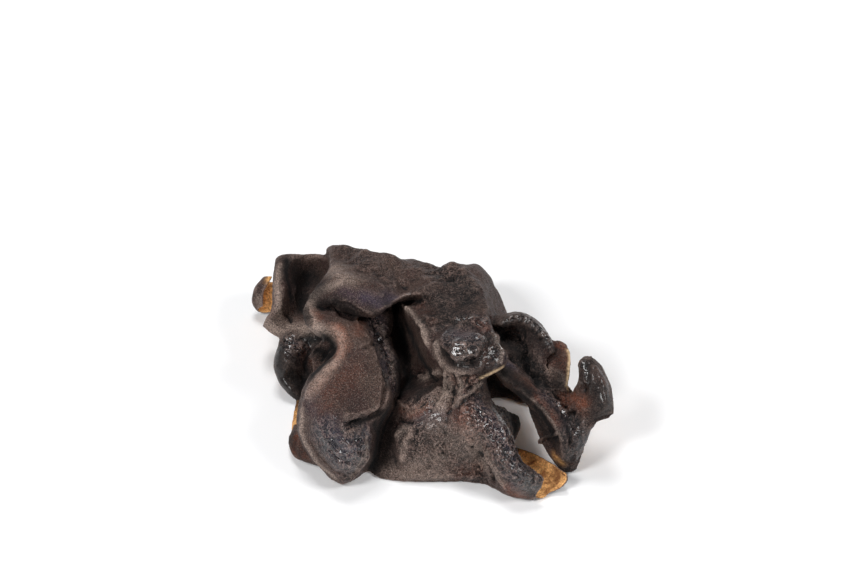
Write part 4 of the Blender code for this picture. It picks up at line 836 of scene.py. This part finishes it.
        ([(10.4, 32.2), (11.6, 29.8), (11.0, 27.4), (8.6, 25.8)], 1.8, 0.75),
        ([(19.0, 17.8), (21.0, 14.6), (23.4, 11.0)], 1.8, 0.85),
        ([(14.2, 19.0), (16.2, 17.0), (15.8, 13.8)], 2.4, 1.0),
        ([(10.2, 23.0), (13.0, 21.8), (17.8, 20.2)], 2.6, 1.0),
        ([(15.0, 22.6), (18.2, 19.8)], 1.6, 0.9),
        ([(-22.6, 38.6), (-20.2, 38.8), (-17.4, 37.6), (-15.8, 36.4)], 2.0, 0.85),
        ([(10.6, 22.6), (14.0, 21.8), (17.4, 20.4)], 1.5, 0.8),
        ([(20.2, 17.8), (22.0, 15.4), (23.4, 12.2)], 2.4, 1.0),
        ([(-11.8, 15.4), (-11.4, 11.4), (-12.2, 7.0)], 1.2, 1.0),
        ([(-6.2, 24.6), (-4.6, 22.2), (-2.6, 21.0), (-1.0, 22.2)], 1.9, 0.8),
        ([(17.8, 30.4), (18.4, 27.0), (19.8, 23.8)], 1.0, 0.7),
        ([(-30.2, 47.4), (-30.0, 43.4), (-29.2, 39.8)], 1.4, 1.0),
        ([(-28.8, 11.8), (-27.6, 9.8), (-26.4, 7.8)], 1.8, 0.8),
        ([(-9.8, 38.6), (-7.4, 38.8), (-5.0, 39.6)], 1.3, 0.6),
        ([(-12.8, 37.6), (-11.0, 37.0)], 1.2, 0.5),
        ([(15.0, 7.4), (16.8, 4.6), (18.6, 1.8)], 1.8, 0.35),
        ([(15.0, 21.8), (17.0, 20.2)], 1.0, 0.5),
        ([(21.0, 14.6), (22.0, 12.6)], 0.8, 0.5),
        ([(13.0, 33.8), (11.8, 35.0)], 1.0, 0.6),
    ],
}


@dataclass
class Ear:
    """The whole ear as one skin."""

    name: str = "wood_ear_skin"
    seed: int = 1
    lobes: list[Lobe] = field(default_factory=lambda: LOBES)

    # The skin, and how it is made lighter where it isn't seen.
    voxel: float = 0.27 * MM
    smooth_rounds: int = 2
    smooth_share: float = 0.5
    hidden_triangles: int = 72000
    most_triangles: int = 192000
    turned_away: float = 0.2

    # Strokes: the gap between samples as a share of the width, how a line strays from its course in
    # millimetres, and how far before the ear the eye is in metres.
    stroke_spacing: float = 0.4
    stray_size: float = 1.6
    stray_reach: float = 0.45
    sight_reach: float = 0.3

    # Creases: they go through the thickness of the sheet, and are pressed in more in some places.
    sheet_reach: float = 1.2 * MM
    crease_cutoff: float = 2.0
    crease_fade: float = 1.7
    press_mean: float = 0.9
    press_swing: float = 0.8
    press_rate: float = 3.0

    # Wrinkles, and how the highest of them are drawn in.
    warp_size: float = 3.4 * MM
    warp_reach: float = 1.3 * MM
    wrinkle_sizes: tuple[float, ...] = (2.8 * MM, 1.5 * MM, 0.8 * MM, 0.55 * MM)
    wrinkle_depths: tuple[float, ...] = (0.20 * MM, 0.20 * MM, 0.12 * MM, 0.06 * MM)
    wrinkle_level: float = 0.5
    wrinkle_least: float = 0.12
    wrinkle_lively: float = 0.22
    wrinkle_brushed: float = 0.95
    calm_size: float = 8.0 * MM
    calm_swing: float = 0.35
    drawn_in_from: float = 22.5 * MM
    drawn_in_share: float = 0.65

    # Brushes, the felt and the relief.
    brush_cutoff: float = 1.8
    brush_depth: float = 0.9 * MM
    felt_below: float = -0.55
    skin_above: float = -0.1
    felt_rounds: int = 8
    relief_rounds: int = 10
    relief_scale: float = 0.30 * MM
    relief_spacing: float = 0.32 * MM

    def fused(self) -> bpy.types.Object:
        """Joins the thick sheets and runs one skin round them.

        Returns:
            The object with the closed skin.
        """
        bm = bmesh.new()
        for lobe in self.lobes:
            thick = lobe.solid()
            bm.from_mesh(thick.data)
            bpy.data.objects.remove(thick)
        skin = mesh_object(bm, self.name)
        remesh = skin.modifiers.new("one_skin", "REMESH")
        remesh.mode = "VOXEL"
        remesh.voxel_size = self.voxel
        remesh.use_smooth_shade = True
        settle_modifiers(skin)
        log.info("one skin: %d faces", len(skin.data.polygons))
        return skin

    def thinned(self, skin: bpy.types.Object, tree: BVHTree) -> None:
        """Drops faces, first and most where the ear isn't seen from the front, then everywhere.

        Args:
            skin: the ear, as its wrinkles left it.
            tree: the same faces, ready to be searched.
        """
        hidden = skin.vertex_groups.new(name="hidden")
        shown = np.zeros(len(skin.data.vertices), dtype=bool)
        for vert in skin.data.vertices:
            start = vert.co + (vert.normal - LOOK) * self.voxel
            facing = vert.normal.dot(LOOK) < self.turned_away
            shown[vert.index] = facing and tree.ray_cast(start, -LOOK)[0] is None
            hidden.add([vert.index], 0.0 if shown[vert.index] else 1.0, "REPLACE")
        kept = sum(2 for face in skin.data.polygons if shown[list(face.vertices)].all())
        self.drop_faces(skin, kept + self.hidden_triangles, hidden.name)
        self.drop_faces(skin, self.most_triangles)
        skin.vertex_groups.clear()
        log.info("thinned skin: %d faces, from %d on the seen side", len(skin.data.polygons), kept)

    def drop_specks(self, bm: bmesh.types.BMesh) -> None:
        """Deletes any speck of skin that isn't joined to the ear's highest point."""
        front = {max(bm.verts, key=lambda vert: vert.co.z)}
        joined = set(front)
        while front:
            beside = {edge.other_vert(vert) for vert in front for edge in vert.link_edges}
            front = beside - joined
            joined |= front
        specks = [vert for vert in bm.verts if vert not in joined]
        bmesh.ops.delete(bm, geom=specks, context="VERTS")
        log.info("dropped %d points of loose specks", len(specks))

    def drop_faces(self, skin: bpy.types.Object, most: int, group: str = "") -> None:
        """Decimates the skin to so many triangles, only within a vertex group where one is named."""
        triangles = sum(len(face.vertices) - 2 for face in skin.data.polygons)
        if triangles > most:
            thin = skin.modifiers.new("fewer_faces", "DECIMATE")
            thin.ratio = most / triangles
            thin.vertex_group = group
            settle_modifiers(skin)

    def hits(self, tree: BVHTree, points: list[Point], spacing: float) -> list[tuple[Vector, Vector]]:
        """Where a line drawn in the working view falls on the skin.

        Args:
            tree: the skin's faces.
            points: the line's (across, up) points.
            spacing: the gap between samples, in millimetres.

        Returns:
            The place and the normal at each sample that meets the skin.
        """
        line = curve_through(np.array(points), self.steps_for(points, spacing))
        found = []
        for across, up in line:
            stray = noise.noise_vector(Vector((across, up, 0.0)) / self.stray_size) * self.stray_reach
            base = placed((across + stray.x, 0.0, 0.0)) + RISE * (up + stray.y) * MM
            place, normal, _, _ = tree.ray_cast(base - LOOK * self.sight_reach, LOOK)
            if place is not None:
                found.append((place, normal))
        return found

    def steps_for(self, points: list[Point], spacing: float) -> int:
        """How many steps each span of a line needs to keep to a spacing."""
        longest = max(math.dist(start, stop) for start, stop in zip(points, points[1:]))
        return max(int(longest / spacing) + 1, 1)

    def trees(self, bm: bmesh.types.BMesh) -> tuple[BVHTree, KDTree]:
        """The skin's faces and points, ready to be searched."""
        near = KDTree(len(bm.verts))
        for vert in bm.verts:
            near.insert(vert.co, vert.index)
        near.balance()
        return BVHTree.FromBMesh(bm), near

    def crease(self, bm: bmesh.types.BMesh) -> None:
        """Presses each crest and groove into the skin; wide ones move both faces of the sheet."""
        tree, near = self.trees(bm)
        total = np.zeros((len(bm.verts), 3))
        for line, depth, width in CREASES:
            reach = width * MM
            moves: dict[int, tuple[float, Vector]] = {}
            for place, normal in self.hits(tree, line, width * self.stroke_spacing):
                swing = noise.noise(place / self.calm_size * self.press_rate)
                strength = self.press_mean + self.press_swing * swing
                spots = near.find_range(place, reach * self.crease_cutoff + self.sheet_reach)
                for spot, index, distance in spots:
                    through = abs((spot - place).dot(normal))
                    beside = distance ** 2 - through ** 2
                    pull = strength * math.exp(-beside / reach ** 2)
                    faded = self.crease_fade * self.sheet_reach + reach
                    pull *= 1.0 - smooth_step(through, self.sheet_reach, faded)
                    if index not in moves or moves[index][0] < pull:
                        moves[index] = (pull, normal)
            for index, (pull, normal) in moves.items():
                total[index] += np.array(normal) * (pull * depth * MM)
        for vert, move in zip(bm.verts, total):
            vert.co += Vector(move)

    def wrinkle(self, bm: bmesh.types.BMesh) -> None:
        """Raises the fine wrinkles of the dried skin, deepest where the brushes ask for them."""
        bm.normal_update()
        shrunk = self.painted(bm, [Tint.WRINKLED])[Tint.WRINKLED]
        moves = []
        for vert in bm.verts:
            place = vert.co + noise.noise_vector(vert.co / self.warp_size) * self.warp_reach
            lift = sum(
                (ridged(place / size) - self.wrinkle_level) * depth
                for size, depth in zip(self.wrinkle_sizes, self.wrinkle_depths)
            )
            lively = smooth_step(noise.noise(vert.co / self.calm_size), -self.calm_swing, self.calm_swing)
            share = self.wrinkle_least + self.wrinkle_lively * lively
            moves.append(vert.normal * lift * (share + self.wrinkle_brushed * shrunk[vert.index]))
        for vert, move in zip(bm.verts, moves):
            vert.co += move

    def settle_heights(self, bm: bmesh.types.BMesh) -> None:
        """Flattens what would reach below the table top, and draws in what wrinkling lifted highest."""
        for vert in bm.verts:
            over = max(vert.co.z - self.drawn_in_from, 0.0)
            vert.co.z = max(vert.co.z, 0.0) - over * (1.0 - self.drawn_in_share)

    def felt_mask(self, places: list[Vector]) -> np.ndarray:
        """Which points of the skin are on the felted side of their sheet.

        Args:
            places: where each point was before the creases moved it.

        Returns:
            1 on the felted side, 0 on the dark side and between them at the rims.
        """
        middles = bmesh.new()
        turned = []
        for lobe in self.lobes:
            sheet = lobe.middle()
            mesh = bpy.data.meshes.new("middle")
            sheet.to_mesh(mesh)
            sheet.free()
            middles.from_mesh(mesh)
            turned.extend([lobe.dark_side] * len(mesh.polygons))
            bpy.data.meshes.remove(mesh)
        tree = BVHTree.FromBMesh(middles)
        felt = np.zeros(len(places))
        for index, place in enumerate(places):
            middle, normal, face, distance = tree.find_nearest(place)
            side = (place - middle).dot(normal) * turned[face] / max(distance, LEAST_DISTANCE)
            felt[index] = 1.0 - smooth_step(side, self.felt_below, self.skin_above)
        middles.free()
        return felt

    def evened(self, bm: bmesh.types.BMesh, values: np.ndarray, rounds: int) -> np.ndarray:
        """Evens values out along the skin's edges.

        Args:
            bm: the skin.
            values: a row of numbers for each vertex.
            rounds: how often each vertex takes the mean of its neighbours.

        Returns:
            The evened rows.
        """
        ends = edge_ends(bm)
        count = np.bincount(ends.ravel(), minlength=len(values))[:, None]
        for _ in range(rounds):
            total = np.zeros_like(values)
            np.add.at(total, ends[:, 0], values[ends[:, 1]])
            np.add.at(total, ends[:, 1], values[ends[:, 0]])
            values = total / count
        return values

    def relief(self, bm: bmesh.types.BMesh) -> np.ndarray:
        """How far each point stands out of the skin around it: 0.5 where level, 1 on a crest."""
        places = np.array([vert.co for vert in bm.verts])
        normals = np.array([vert.normal for vert in bm.verts])
        stand = ((places - self.evened(bm, places, self.relief_rounds)) * normals).sum(axis=1)
        ends = edge_ends(bm).ravel()
        lengths = np.repeat([edge.calc_length() for edge in bm.edges], 2)
        spacing = np.bincount(ends, lengths) / np.bincount(ends)
        stand *= np.minimum((self.relief_spacing / spacing) ** 2, 1.0)
        return np.clip(0.5 + stand / (2 * self.relief_scale), 0.0, 1.0)

    def painted(self, bm: bmesh.types.BMesh, tints: list[Tint]) -> dict[Tint, np.ndarray]:
        """Brushes tints on the skin.

        Args:
            bm: the skin.
            tints: the tints to lay.

        Returns:
            For each tint, its strength at each vertex.
        """
        tree, near = self.trees(bm)
        bm.verts.ensure_lookup_table()
        layers = {tint: np.zeros(len(bm.verts)) for tint in tints}
        for tint, layer in layers.items():
            for line, width, strength in BRUSHES[tint]:
                reach = width * MM
                for place, normal in self.hits(tree, line, width * self.stroke_spacing):
                    for spot, index, distance in near.find_range(place, reach * self.brush_cutoff):
                        below = (place - spot).dot(normal)
                        if bm.verts[index].normal.dot(normal) > 0.0 and below < self.brush_depth:
                            laid = strength * math.exp(-((distance / reach) ** 2))
                            layer[index] = max(layer[index], laid)
        return layers

    def build(self) -> bpy.types.Object:
        """Builds the finished ear.

        Returns:
            The object, with its masks as attributes of its points.
        """
        noise.seed_set(self.seed)
        skin = self.fused()
        bm = bmesh.new()
        bm.from_mesh(skin.data)
        self.drop_specks(bm)
        for _ in range(self.smooth_rounds):
            bmesh.ops.smooth_vert(bm, verts=bm.verts, factor=self.smooth_share, use_axis_x=True,
                                  use_axis_y=True, use_axis_z=True)
        plain = [vert.co.copy() for vert in bm.verts]
        self.crease(bm)
        self.wrinkle(bm)
        self.settle_heights(bm)
        tree, near = self.trees(bm)
        bm.to_mesh(skin.data)
        bm.free()
        self.thinned(skin, tree)
        bm = bmesh.new()
        bm.from_mesh(skin.data)
        bm.normal_update()
        felt = self.felt_mask([plain[near.find(vert.co)[1]] for vert in bm.verts])
        masks = {"felt": self.evened(bm, felt[:, None], self.felt_rounds)[:, 0], "relief": self.relief(bm)}
        masks |= {tint.value: layer for tint, layer in self.painted(bm, list(Tint)).items()}
        bm.free()
        for name, values in masks.items():
            attribute = skin.data.attributes.new(name, "FLOAT", "POINT")
            attribute.data.foreach_set("value", values.astype(np.float32))
        skin.data.shade_smooth()
        return skin


class Sketch:
    """A material's node tree, with short ways to add and join its nodes."""

    def __init__(self, name: str) -> None:
        """Starts a material that has a Principled shader.

        Args:
            name: the material's name.
        """
        self.material = bpy.data.materials.new(name)
        self.material.use_nodes = True
        self.nodes = self.material.node_tree.nodes
        self.links = self.material.node_tree.links
        self.shader = self.nodes["Principled BSDF"]
        self.place = self.nodes.new("ShaderNodeTexCoord").outputs["Object"]

    def join(self, source: bpy.types.NodeSocket, target: bpy.types.NodeSocket) -> None:
        """Joins one socket to another."""
        self.links.new(source, target)

    def mask(self, name: str) -> bpy.types.NodeSocket:
        """The skin's own attribute of that name."""
        node = self.nodes.new("ShaderNodeAttribute")
        node.attribute_name = name
        return node.outputs["Fac"]

    def math(self, operation: str, *terms: object) -> bpy.types.NodeSocket:
        """A Math node on sockets or plain numbers."""
        node = self.nodes.new("ShaderNodeMath")
        node.operation = operation
        for term, socket in zip(terms, node.inputs):
            if isinstance(term, bpy.types.NodeSocket):
                self.join(term, socket)
            else:
                socket.default_value = term
        return node.outputs[0]

    def mix(self, share: object, first: object, second: object) -> bpy.types.NodeSocket:
        """Mixes two values, each a socket or a plain number, by a share."""
        rest = self.math("MULTIPLY", first, self.math("SUBTRACT", 1.0, share))
        return self.math("ADD", rest, self.math("MULTIPLY", second, share))

    def less(self, source: bpy.types.NodeSocket, share: float) -> bpy.types.NodeSocket:
        """1 where the source is 0, and less by this share of the source elsewhere."""
        return self.math("SUBTRACT", 1.0, self.math("MULTIPLY", source, share))

    def span(self, source: bpy.types.NodeSocket, low: float, high: float,
             to_low: float = 0.0, to_high: float = 1.0) -> bpy.types.NodeSocket:
        """Maps a range of values to another, smoothly and within its ends."""
        node = self.nodes.new("ShaderNodeMapRange")
        node.interpolation_type = "SMOOTHSTEP"
        self.join(source, node.inputs["Value"])
        node.inputs["From Min"].default_value = low
        node.inputs["From Max"].default_value = high
        node.inputs["To Min"].default_value = to_low
        node.inputs["To Max"].default_value = to_high
        return node.outputs["Result"]

    def grain(self, size: float, detail: float = 2.0, roughness: float = 0.5,
              warp: float = 0.0) -> bpy.types.NodeSocket:
        """Noise whose blotches are about size across, in metres."""
        node = self.nodes.new("ShaderNodeTexNoise")
        node.inputs["Scale"].default_value = 1.0 / size
        node.inputs["Detail"].default_value = detail
        node.inputs["Roughness"].default_value = roughness
        node.inputs["Distortion"].default_value = warp
        self.join(self.place, node.inputs["Vector"])
        return node.outputs["Fac"]

    def cells(self, size: float) -> bpy.types.NodeSocket:
        """Distance to the edge of cells about size across: 0 on the lines between them."""
        node = self.nodes.new("ShaderNodeTexVoronoi")
        node.feature = "DISTANCE_TO_EDGE"
        node.inputs["Scale"].default_value = 1.0 / size
        self.join(self.place, node.inputs["Vector"])
        return node.outputs["Distance"]

    def folds(self, size: float) -> bpy.types.NodeSocket:
        """Fine branching folds: 1 along their crests, 0 between them."""
        blotch = self.grain(size, detail=3.0, roughness=0.6, warp=0.6)
        away = self.math("ABSOLUTE", self.math("SUBTRACT", blotch, 0.5))
        return self.span(away, 0.0, 0.08, 1.0, 0.0)

    def blend(self, share: object, first: object, second: object) -> bpy.types.NodeSocket:
        """Mixes two colours, each a socket or three numbers, by a share."""
        node = self.nodes.new("ShaderNodeMix")
        node.data_type = "RGBA"
        factor, one, two = node.inputs["Factor"], node.inputs[6], node.inputs[7]
        for value, socket in ((share, factor), (first, one), (second, two)):
            if isinstance(value, bpy.types.NodeSocket):
                self.join(value, socket)
            elif socket is factor:
                socket.default_value = value
            else:
                socket.default_value = (*value, 1.0)
        return node.outputs[2]


def linear_channel(value: int) -> float:
    """One channel of a screen colour, 0 to 255, made linear by the usual screen curve."""
    share = value / 255.0
    return share / 12.92 if share <= 0.04045 else ((share + 0.055) / 1.055) ** 2.4


def linear(red: int, green: int, blue: int) -> Colour:
    """A screen colour as the linear one that a shader takes."""
    return linear_channel(red), linear_channel(green), linear_channel(blue)


@dataclass(frozen=True)
class EarFinish:
    """The ear's colours, gloss and fine relief: dark leathery skin, tan felt below, pale cut edges.

    A span is where a mask or a pattern starts and ends to count, and the shares that it gives there.
    """

    name: str = "dried_ear_skin"
    # Black, for painted shade in hollows and grooves, and for stipple.
    black: Colour = linear(9, 8, 9)
    deep: Colour = linear(24, 18, 20)
    brown: Colour = linear(60, 37, 32)
    olive: Colour = linear(80, 61, 53)
    # Paler crests: wear, and painted highlight where light catches them.
    worn_and_highlight: Colour = linear(154, 130, 120)
    # Purple-blue: partly the skin's own tone, partly painted bluish sheen.
    purple: Colour = linear(62, 58, 84)
    # Painted glow of light coming red through thin places.
    red: Colour = linear(150, 78, 46)
    # Dust, and painted highlight on lit edges and rims.
    dust_and_highlight: Colour = linear(184, 163, 150)
    # Pale flecks: partly pale specks of the skin, partly painted glints.
    fleck: Colour = linear(198, 176, 164)
    felt: Colour = linear(255, 194, 124)
    felt_dark: Colour = linear(112, 58, 26)
    cream: Colour = linear(232, 200, 160)

    blotch_size: float = 8.0 * MM
    mottle_size: float = 2.4 * MM
    fold_size: float = 1.5 * MM
    stipple_size: float = 0.32 * MM
    fleck_size: float = 0.22 * MM
    felt_blotch_size: float = 2.6 * MM
    felt_grain_size: float = 0.3 * MM

    calm_span: Span = (0.34, 0.66)
    body_span: Span = (0.36, 0.62)
    olive_span: Span = (0.48, 0.72, 0.0, 0.5)
    shrunk_span: Span = (0.05, 0.5)
    red_span: Span = (0.36, 0.6, 0.4, 0.9)
    # Fold and mesh crests get painted highlight, fold and mesh grooves painted shade.
    fold_crest_span: Span = (0.3, 0.95, 0.0, 0.8)
    fold_groove_span: Span = (0.0, 0.45, 0.95, 0.0)
    crest_span: Span = (0.58, 0.95, 0.0, 0.5)
    groove_span: Span = (0.06, 0.4, 0.92, 0.0)
    dust_and_highlight_span: Span = (0.3, 0.6, 0.35, 0.65)
    stipple_span: Span = (0.40, 0.54, 0.62, 0.0)
    fleck_span: Span = (0.54, 0.66)
    felt_span: Span = (0.4, 0.7)
    felt_blotch_span: Span = (0.42, 0.62)
    felt_grain_span: Span = (0.44, 0.62)
    gloss_darkening: float = 0.55
    purple_share: float = 0.65
    fleck_share: float = 0.22
    fleck_on_dust_and_highlight: float = 0.4
    fleck_lost_to_gloss: float = 0.6
    felt_blotch_share: float = 0.8
    felt_grain_share: float = 0.4
    black_share: float = 0.96

    skin_roughness: float = 0.6
    patch_size: float = 1.2 * MM
    patch_span: Span = (0.3, 0.7)
    patch_swing: float = 0.1
    wrinkled_shine: float = 0.24
    gloss_roughness: float = 0.15
    felt_roughness: float = 0.92
    specular: float = 0.3
    coat_roughness: float = 0.12

    bump_distance: float = 0.36 * MM
    cell_size: float = 0.62 * MM
    cell_span: Span = (0.0, 0.22)
    cell_height: float = 0.6
    ridge_height: float = 1.3
    pebble_size: float = 0.55 * MM
    pebble_height: float = 1.2
    fuzz_size: float = 0.28 * MM
    fuzz_height: float = 0.7
    calm_height: float = 0.2
    wrinkled_height: float = 1.1
    bump_lost_to_gloss: float = 0.7

    def leather(self, s: Sketch, mottle: bpy.types.NodeSocket) -> bpy.types.NodeSocket:
        """The dark side's ground: mottled browns, darker where shining, with its purple-blue cast, partly
        painted sheen, and painted red glow.
        """
        blotch = s.grain(self.blotch_size, detail=3.0, roughness=0.55, warp=0.6)
        calm = s.blend(s.span(blotch, *self.calm_span), self.brown, self.olive)
        body = s.blend(s.span(blotch, *self.body_span), self.deep, self.brown)
        body = s.blend(s.span(mottle, *self.olive_span), body, self.olive)
        body = s.blend(s.span(s.mask("wrinkled"), *self.shrunk_span), calm, body)
        body = s.blend(s.math("MULTIPLY", s.mask("gloss"), self.gloss_darkening), body, self.deep)
        # Purple-blue cast: partly the skin's own tone, partly painted bluish sheen.
        body = s.blend(s.math("MULTIPLY", s.mask("purple"), self.purple_share), body, self.purple)
        # Painted red glow where light comes through thin places.
        red = s.math("MULTIPLY", s.mask("red"), s.span(mottle, *self.red_span))
        return s.blend(red, body, self.red)

    def skin_colour(self, s: Sketch) -> bpy.types.NodeSocket:
        """The dark side: its ground, wear and painted highlight on crests, painted shade in grooves, dust
        and painted highlight, stipple.
        """
        relief = s.mask("relief")
        shrunk = s.mask("wrinkled")
        mottle = s.grain(self.mottle_size, detail=5.0, roughness=0.65, warp=0.5)
        stipple = s.grain(self.stipple_size, detail=2.0, roughness=0.6)
        fleck = s.grain(self.fleck_size, detail=1.0, roughness=0.6)
        folds = s.folds(self.fold_size)
        body = self.leather(s, mottle)
        # Painted highlight on the crests and painted shade in the grooves of the fine folds that the bump
        # raises.
        body = s.blend(s.math("MULTIPLY", s.span(folds, *self.fold_crest_span), shrunk), body, self.worn_and_highlight)
        body = s.blend(s.math("MULTIPLY", s.span(folds, *self.fold_groove_span), shrunk), body, self.black)
        # Crests of the mesh paler, with wear and painted highlight.
        body = s.blend(s.span(relief, *self.crest_span), body, self.worn_and_highlight)
        # Dust, and painted highlight along lit edges and rims.
        dust_and_highlight = s.math("MULTIPLY", s.mask("dust_and_highlight"), s.span(mottle, *self.dust_and_highlight_span))
        body = s.blend(dust_and_highlight, body, self.dust_and_highlight)
        body = s.blend(s.span(stipple, *self.stipple_span), body, self.black)
        # Pale flecks, partly painted glints; fewer where the skin shines.
        light = s.math("ADD", s.math("MULTIPLY", s.mask("dust_and_highlight"), self.fleck_on_dust_and_highlight), self.fleck_share)
        light = s.math("MULTIPLY", light, s.less(s.mask("gloss"), self.fleck_lost_to_gloss))
        body = s.blend(s.math("MULTIPLY", s.span(fleck, *self.fleck_span), light), body, self.fleck)
        # Painted shade: grooves of the mesh turned black.
        return s.blend(s.span(relief, *self.groove_span), body, self.black)

    def felt_colour(self, s: Sketch) -> bpy.types.NodeSocket:
        """The felted side: tan, with darker blotches and specks."""
        grain = s.span(s.grain(self.felt_grain_size, detail=2.0), *self.felt_grain_span)
        blotch = s.grain(self.felt_blotch_size, detail=6.0, roughness=0.7, warp=0.6)
        blotch = s.math("MULTIPLY", s.span(blotch, *self.felt_blotch_span), self.felt_blotch_share)
        colour = s.blend(blotch, self.felt, self.felt_dark)
        return s.blend(s.math("MULTIPLY", grain, self.felt_grain_share), colour, self.felt_dark)

    def shine(self, s: Sketch, felt_share: bpy.types.NodeSocket) -> None:
        """Sets how rough and how coated the skin is: dull on felt and cut edges, wet-looking on gloss."""
        gloss = s.mask("gloss")
        matte = s.math("MAXIMUM", felt_share, s.mask("cream"))
        patchy = s.span(s.grain(self.patch_size, detail=4.0), *self.patch_span,
                        self.skin_roughness - self.patch_swing, self.skin_roughness + self.patch_swing)
        patchy = s.math("SUBTRACT", patchy, s.math("MULTIPLY", s.mask("wrinkled"), self.wrinkled_shine))
        patchy = s.mix(s.mask("black"), patchy, self.felt_roughness)
        rough = s.mix(gloss, patchy, self.gloss_roughness)
        s.join(s.mix(matte, rough, self.felt_roughness), s.shader.inputs["Roughness"])
        s.join(s.math("MULTIPLY", gloss, s.less(matte, 1.0)), s.shader.inputs["Coat Weight"])
        s.shader.inputs["Coat Roughness"].default_value = self.coat_roughness
        s.shader.inputs["Specular IOR Level"].default_value = self.specular

    def bump(self, s: Sketch) -> None:
        """Sets the relief that is too fine for the mesh: fine folds, cells, pebbles and fuzz."""
        lines = s.span(s.cells(self.cell_size), *self.cell_span)
        pebble = s.grain(self.pebble_size, detail=3.0, roughness=0.6, warp=1.2)
        fuzz = s.grain(self.fuzz_size, detail=1.0)
        shrunk = s.mix(s.mask("wrinkled"), self.calm_height, self.wrinkled_height)
        lines = s.math("MULTIPLY", lines, self.cell_height)
        ridges = s.mix(s.folds(self.fold_size), lines, self.ridge_height)
        fine = s.math("ADD", s.math("MULTIPLY", pebble, self.pebble_height),
                      s.math("MULTIPLY", fuzz, self.fuzz_height))
        fine = s.math("MULTIPLY", fine, s.less(s.mask("gloss"), self.bump_lost_to_gloss))
        node = s.nodes.new("ShaderNodeBump")
        node.inputs["Distance"].default_value = self.bump_distance
        s.join(s.math("ADD", s.math("MULTIPLY", ridges, shrunk), fine), node.inputs["Height"])
        s.join(node.outputs["Normal"], s.shader.inputs["Normal"])

    def build(self) -> bpy.types.Material:
        """Builds the material.

        Returns:
            A material that reads the ear's masks.
        """
        s = Sketch(self.name)
        felt_share = s.math("MAXIMUM", s.span(s.mask("felt"), *self.felt_span), s.mask("tan"))
        colour = s.blend(felt_share, self.skin_colour(s), self.felt_colour(s))
        # Painted shade: black laid over skin and felt where no light reaches.
        colour = s.blend(s.math("MULTIPLY", s.mask("black"), self.black_share), colour, self.black)
        s.join(s.blend(s.mask("cream"), colour, self.cream), s.shader.inputs["Base Color"])
        self.shine(s, felt_share)
        self.bump(s)
        return s.material


@dataclass(frozen=True)
class FloorFinish:
    """Plain white table."""

    name: str = "white_table"
    colour: Colour = (0.9, 0.9, 0.905)
    roughness: float = 0.8
    mottle_size: float = 0.4
    mottle_span: Span = (0.3, 0.7, 0.98, 1.0)
    dimmest: float = 0.98

    def build(self) -> bpy.types.Material:
        """Builds the material."""
        s = Sketch(self.name)
        mottle = s.span(s.grain(self.mottle_size, detail=1.0), *self.mottle_span)
        dim = tuple(self.dimmest * channel for channel in self.colour)
        s.join(s.blend(mottle, dim, self.colour), s.shader.inputs["Base Color"])
        s.shader.inputs["Roughness"].default_value = self.roughness
        return s.material


@dataclass(frozen=True)
class Lamp:
    """A square soft light that faces the ear, with its power in watts."""

    name: str
    place: tuple[float, float, float]
    size: float
    power: float

    def build(self) -> bpy.types.Object:
        """Hangs the light."""
        light = bpy.data.lights.new(self.name, "AREA")
        light.size = self.size
        light.energy = self.power
        thing = bpy.data.objects.new(self.name, light)
        thing.location = self.place
        thing.rotation_euler = (-Vector(self.place)).to_track_quat("-Z", "Y").to_euler()
        bpy.context.scene.collection.objects.link(thing)
        return thing


@dataclass
class Studio:
    """White table, soft lights and the camera at the photograph's angle."""

    floor_size: float = 3.0
    lens: float = 180.0
    sensor: float = 36.0
    frame_width: float = 170.4 * MM
    centre_across: float = -1.8
    centre_up: float = 42.7
    sky: tuple[float, ...] = (0.94, 0.97, 1.0, 1.0)
    world_strength: float = 0.15
    lamps: tuple[Lamp, ...] = (
        Lamp("left_softbox", (-0.50, -0.40, 0.75), 0.26, 4.8),
        Lamp("front_softbox", (-0.12, -0.86, 0.46), 0.22, 2.2),
        Lamp("right_softbox", (0.62, -0.15, 0.70), 0.26, 3.2),
        Lamp("top_softbox", (-0.10, 0.35, 0.90), 0.34, 4.5),
    )

    def floor(self) -> bpy.types.Object:
        """The white table top."""
        bm = bmesh.new()
        bmesh.ops.create_grid(bm, x_segments=1, y_segments=1, size=self.floor_size / 2)
        thing = mesh_object(bm, "table_top")
        thing.data.materials.append(FloorFinish().build())
        return thing

    def camera(self) -> bpy.types.Object:
        """The camera, looking down on the ear from the front."""
        centre = placed((self.centre_across, 0.0, 0.0)) + RISE * self.centre_up * MM
        distance = self.frame_width * self.lens / self.sensor
        ear_depth = 0.5 * sum(LOOK.dot(Vector(corner)) for corner in CAD_BOX)
        data = bpy.data.cameras.new("camera")
        data.lens = self.lens
        data.sensor_width = self.sensor
        thing = bpy.data.objects.new("camera", data)
        thing.location = centre + LOOK * (ear_depth - LOOK.dot(centre) - distance)
        thing.rotation_mode = "QUATERNION"
        thing.rotation_quaternion = LOOK.to_track_quat("-Z", "Y")
        bpy.context.scene.collection.objects.link(thing)
        bpy.context.scene.camera = thing
        return thing

    def build(self) -> None:
        """Sets the whole studio."""
        self.floor()
        self.camera()
        for lamp in self.lamps:
            lamp.build()
        bpy.context.scene.view_settings.view_transform = "Standard"
        world = bpy.data.worlds.new("studio_white")
        world.use_nodes = True
        background = world.node_tree.nodes["Background"]
        background.inputs["Color"].default_value = self.sky
        background.inputs["Strength"].default_value = self.world_strength
        bpy.context.scene.world = world


def main() -> None:
    """Builds the ear and its studio, hides the solid model's part and hangs the ear on the root body."""
    logging.basicConfig(level=logging.INFO, format="%(name)s: %(message)s")
    skin = Ear().build()
    skin.data.materials.append(EarFinish().build())
    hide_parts("wood_ear")
    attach(skin, "root")
    log.info("%s: %d faces", skin.name, len(skin.data.polygons))
    Studio().build()


if __name__ == "__main__":
    main()
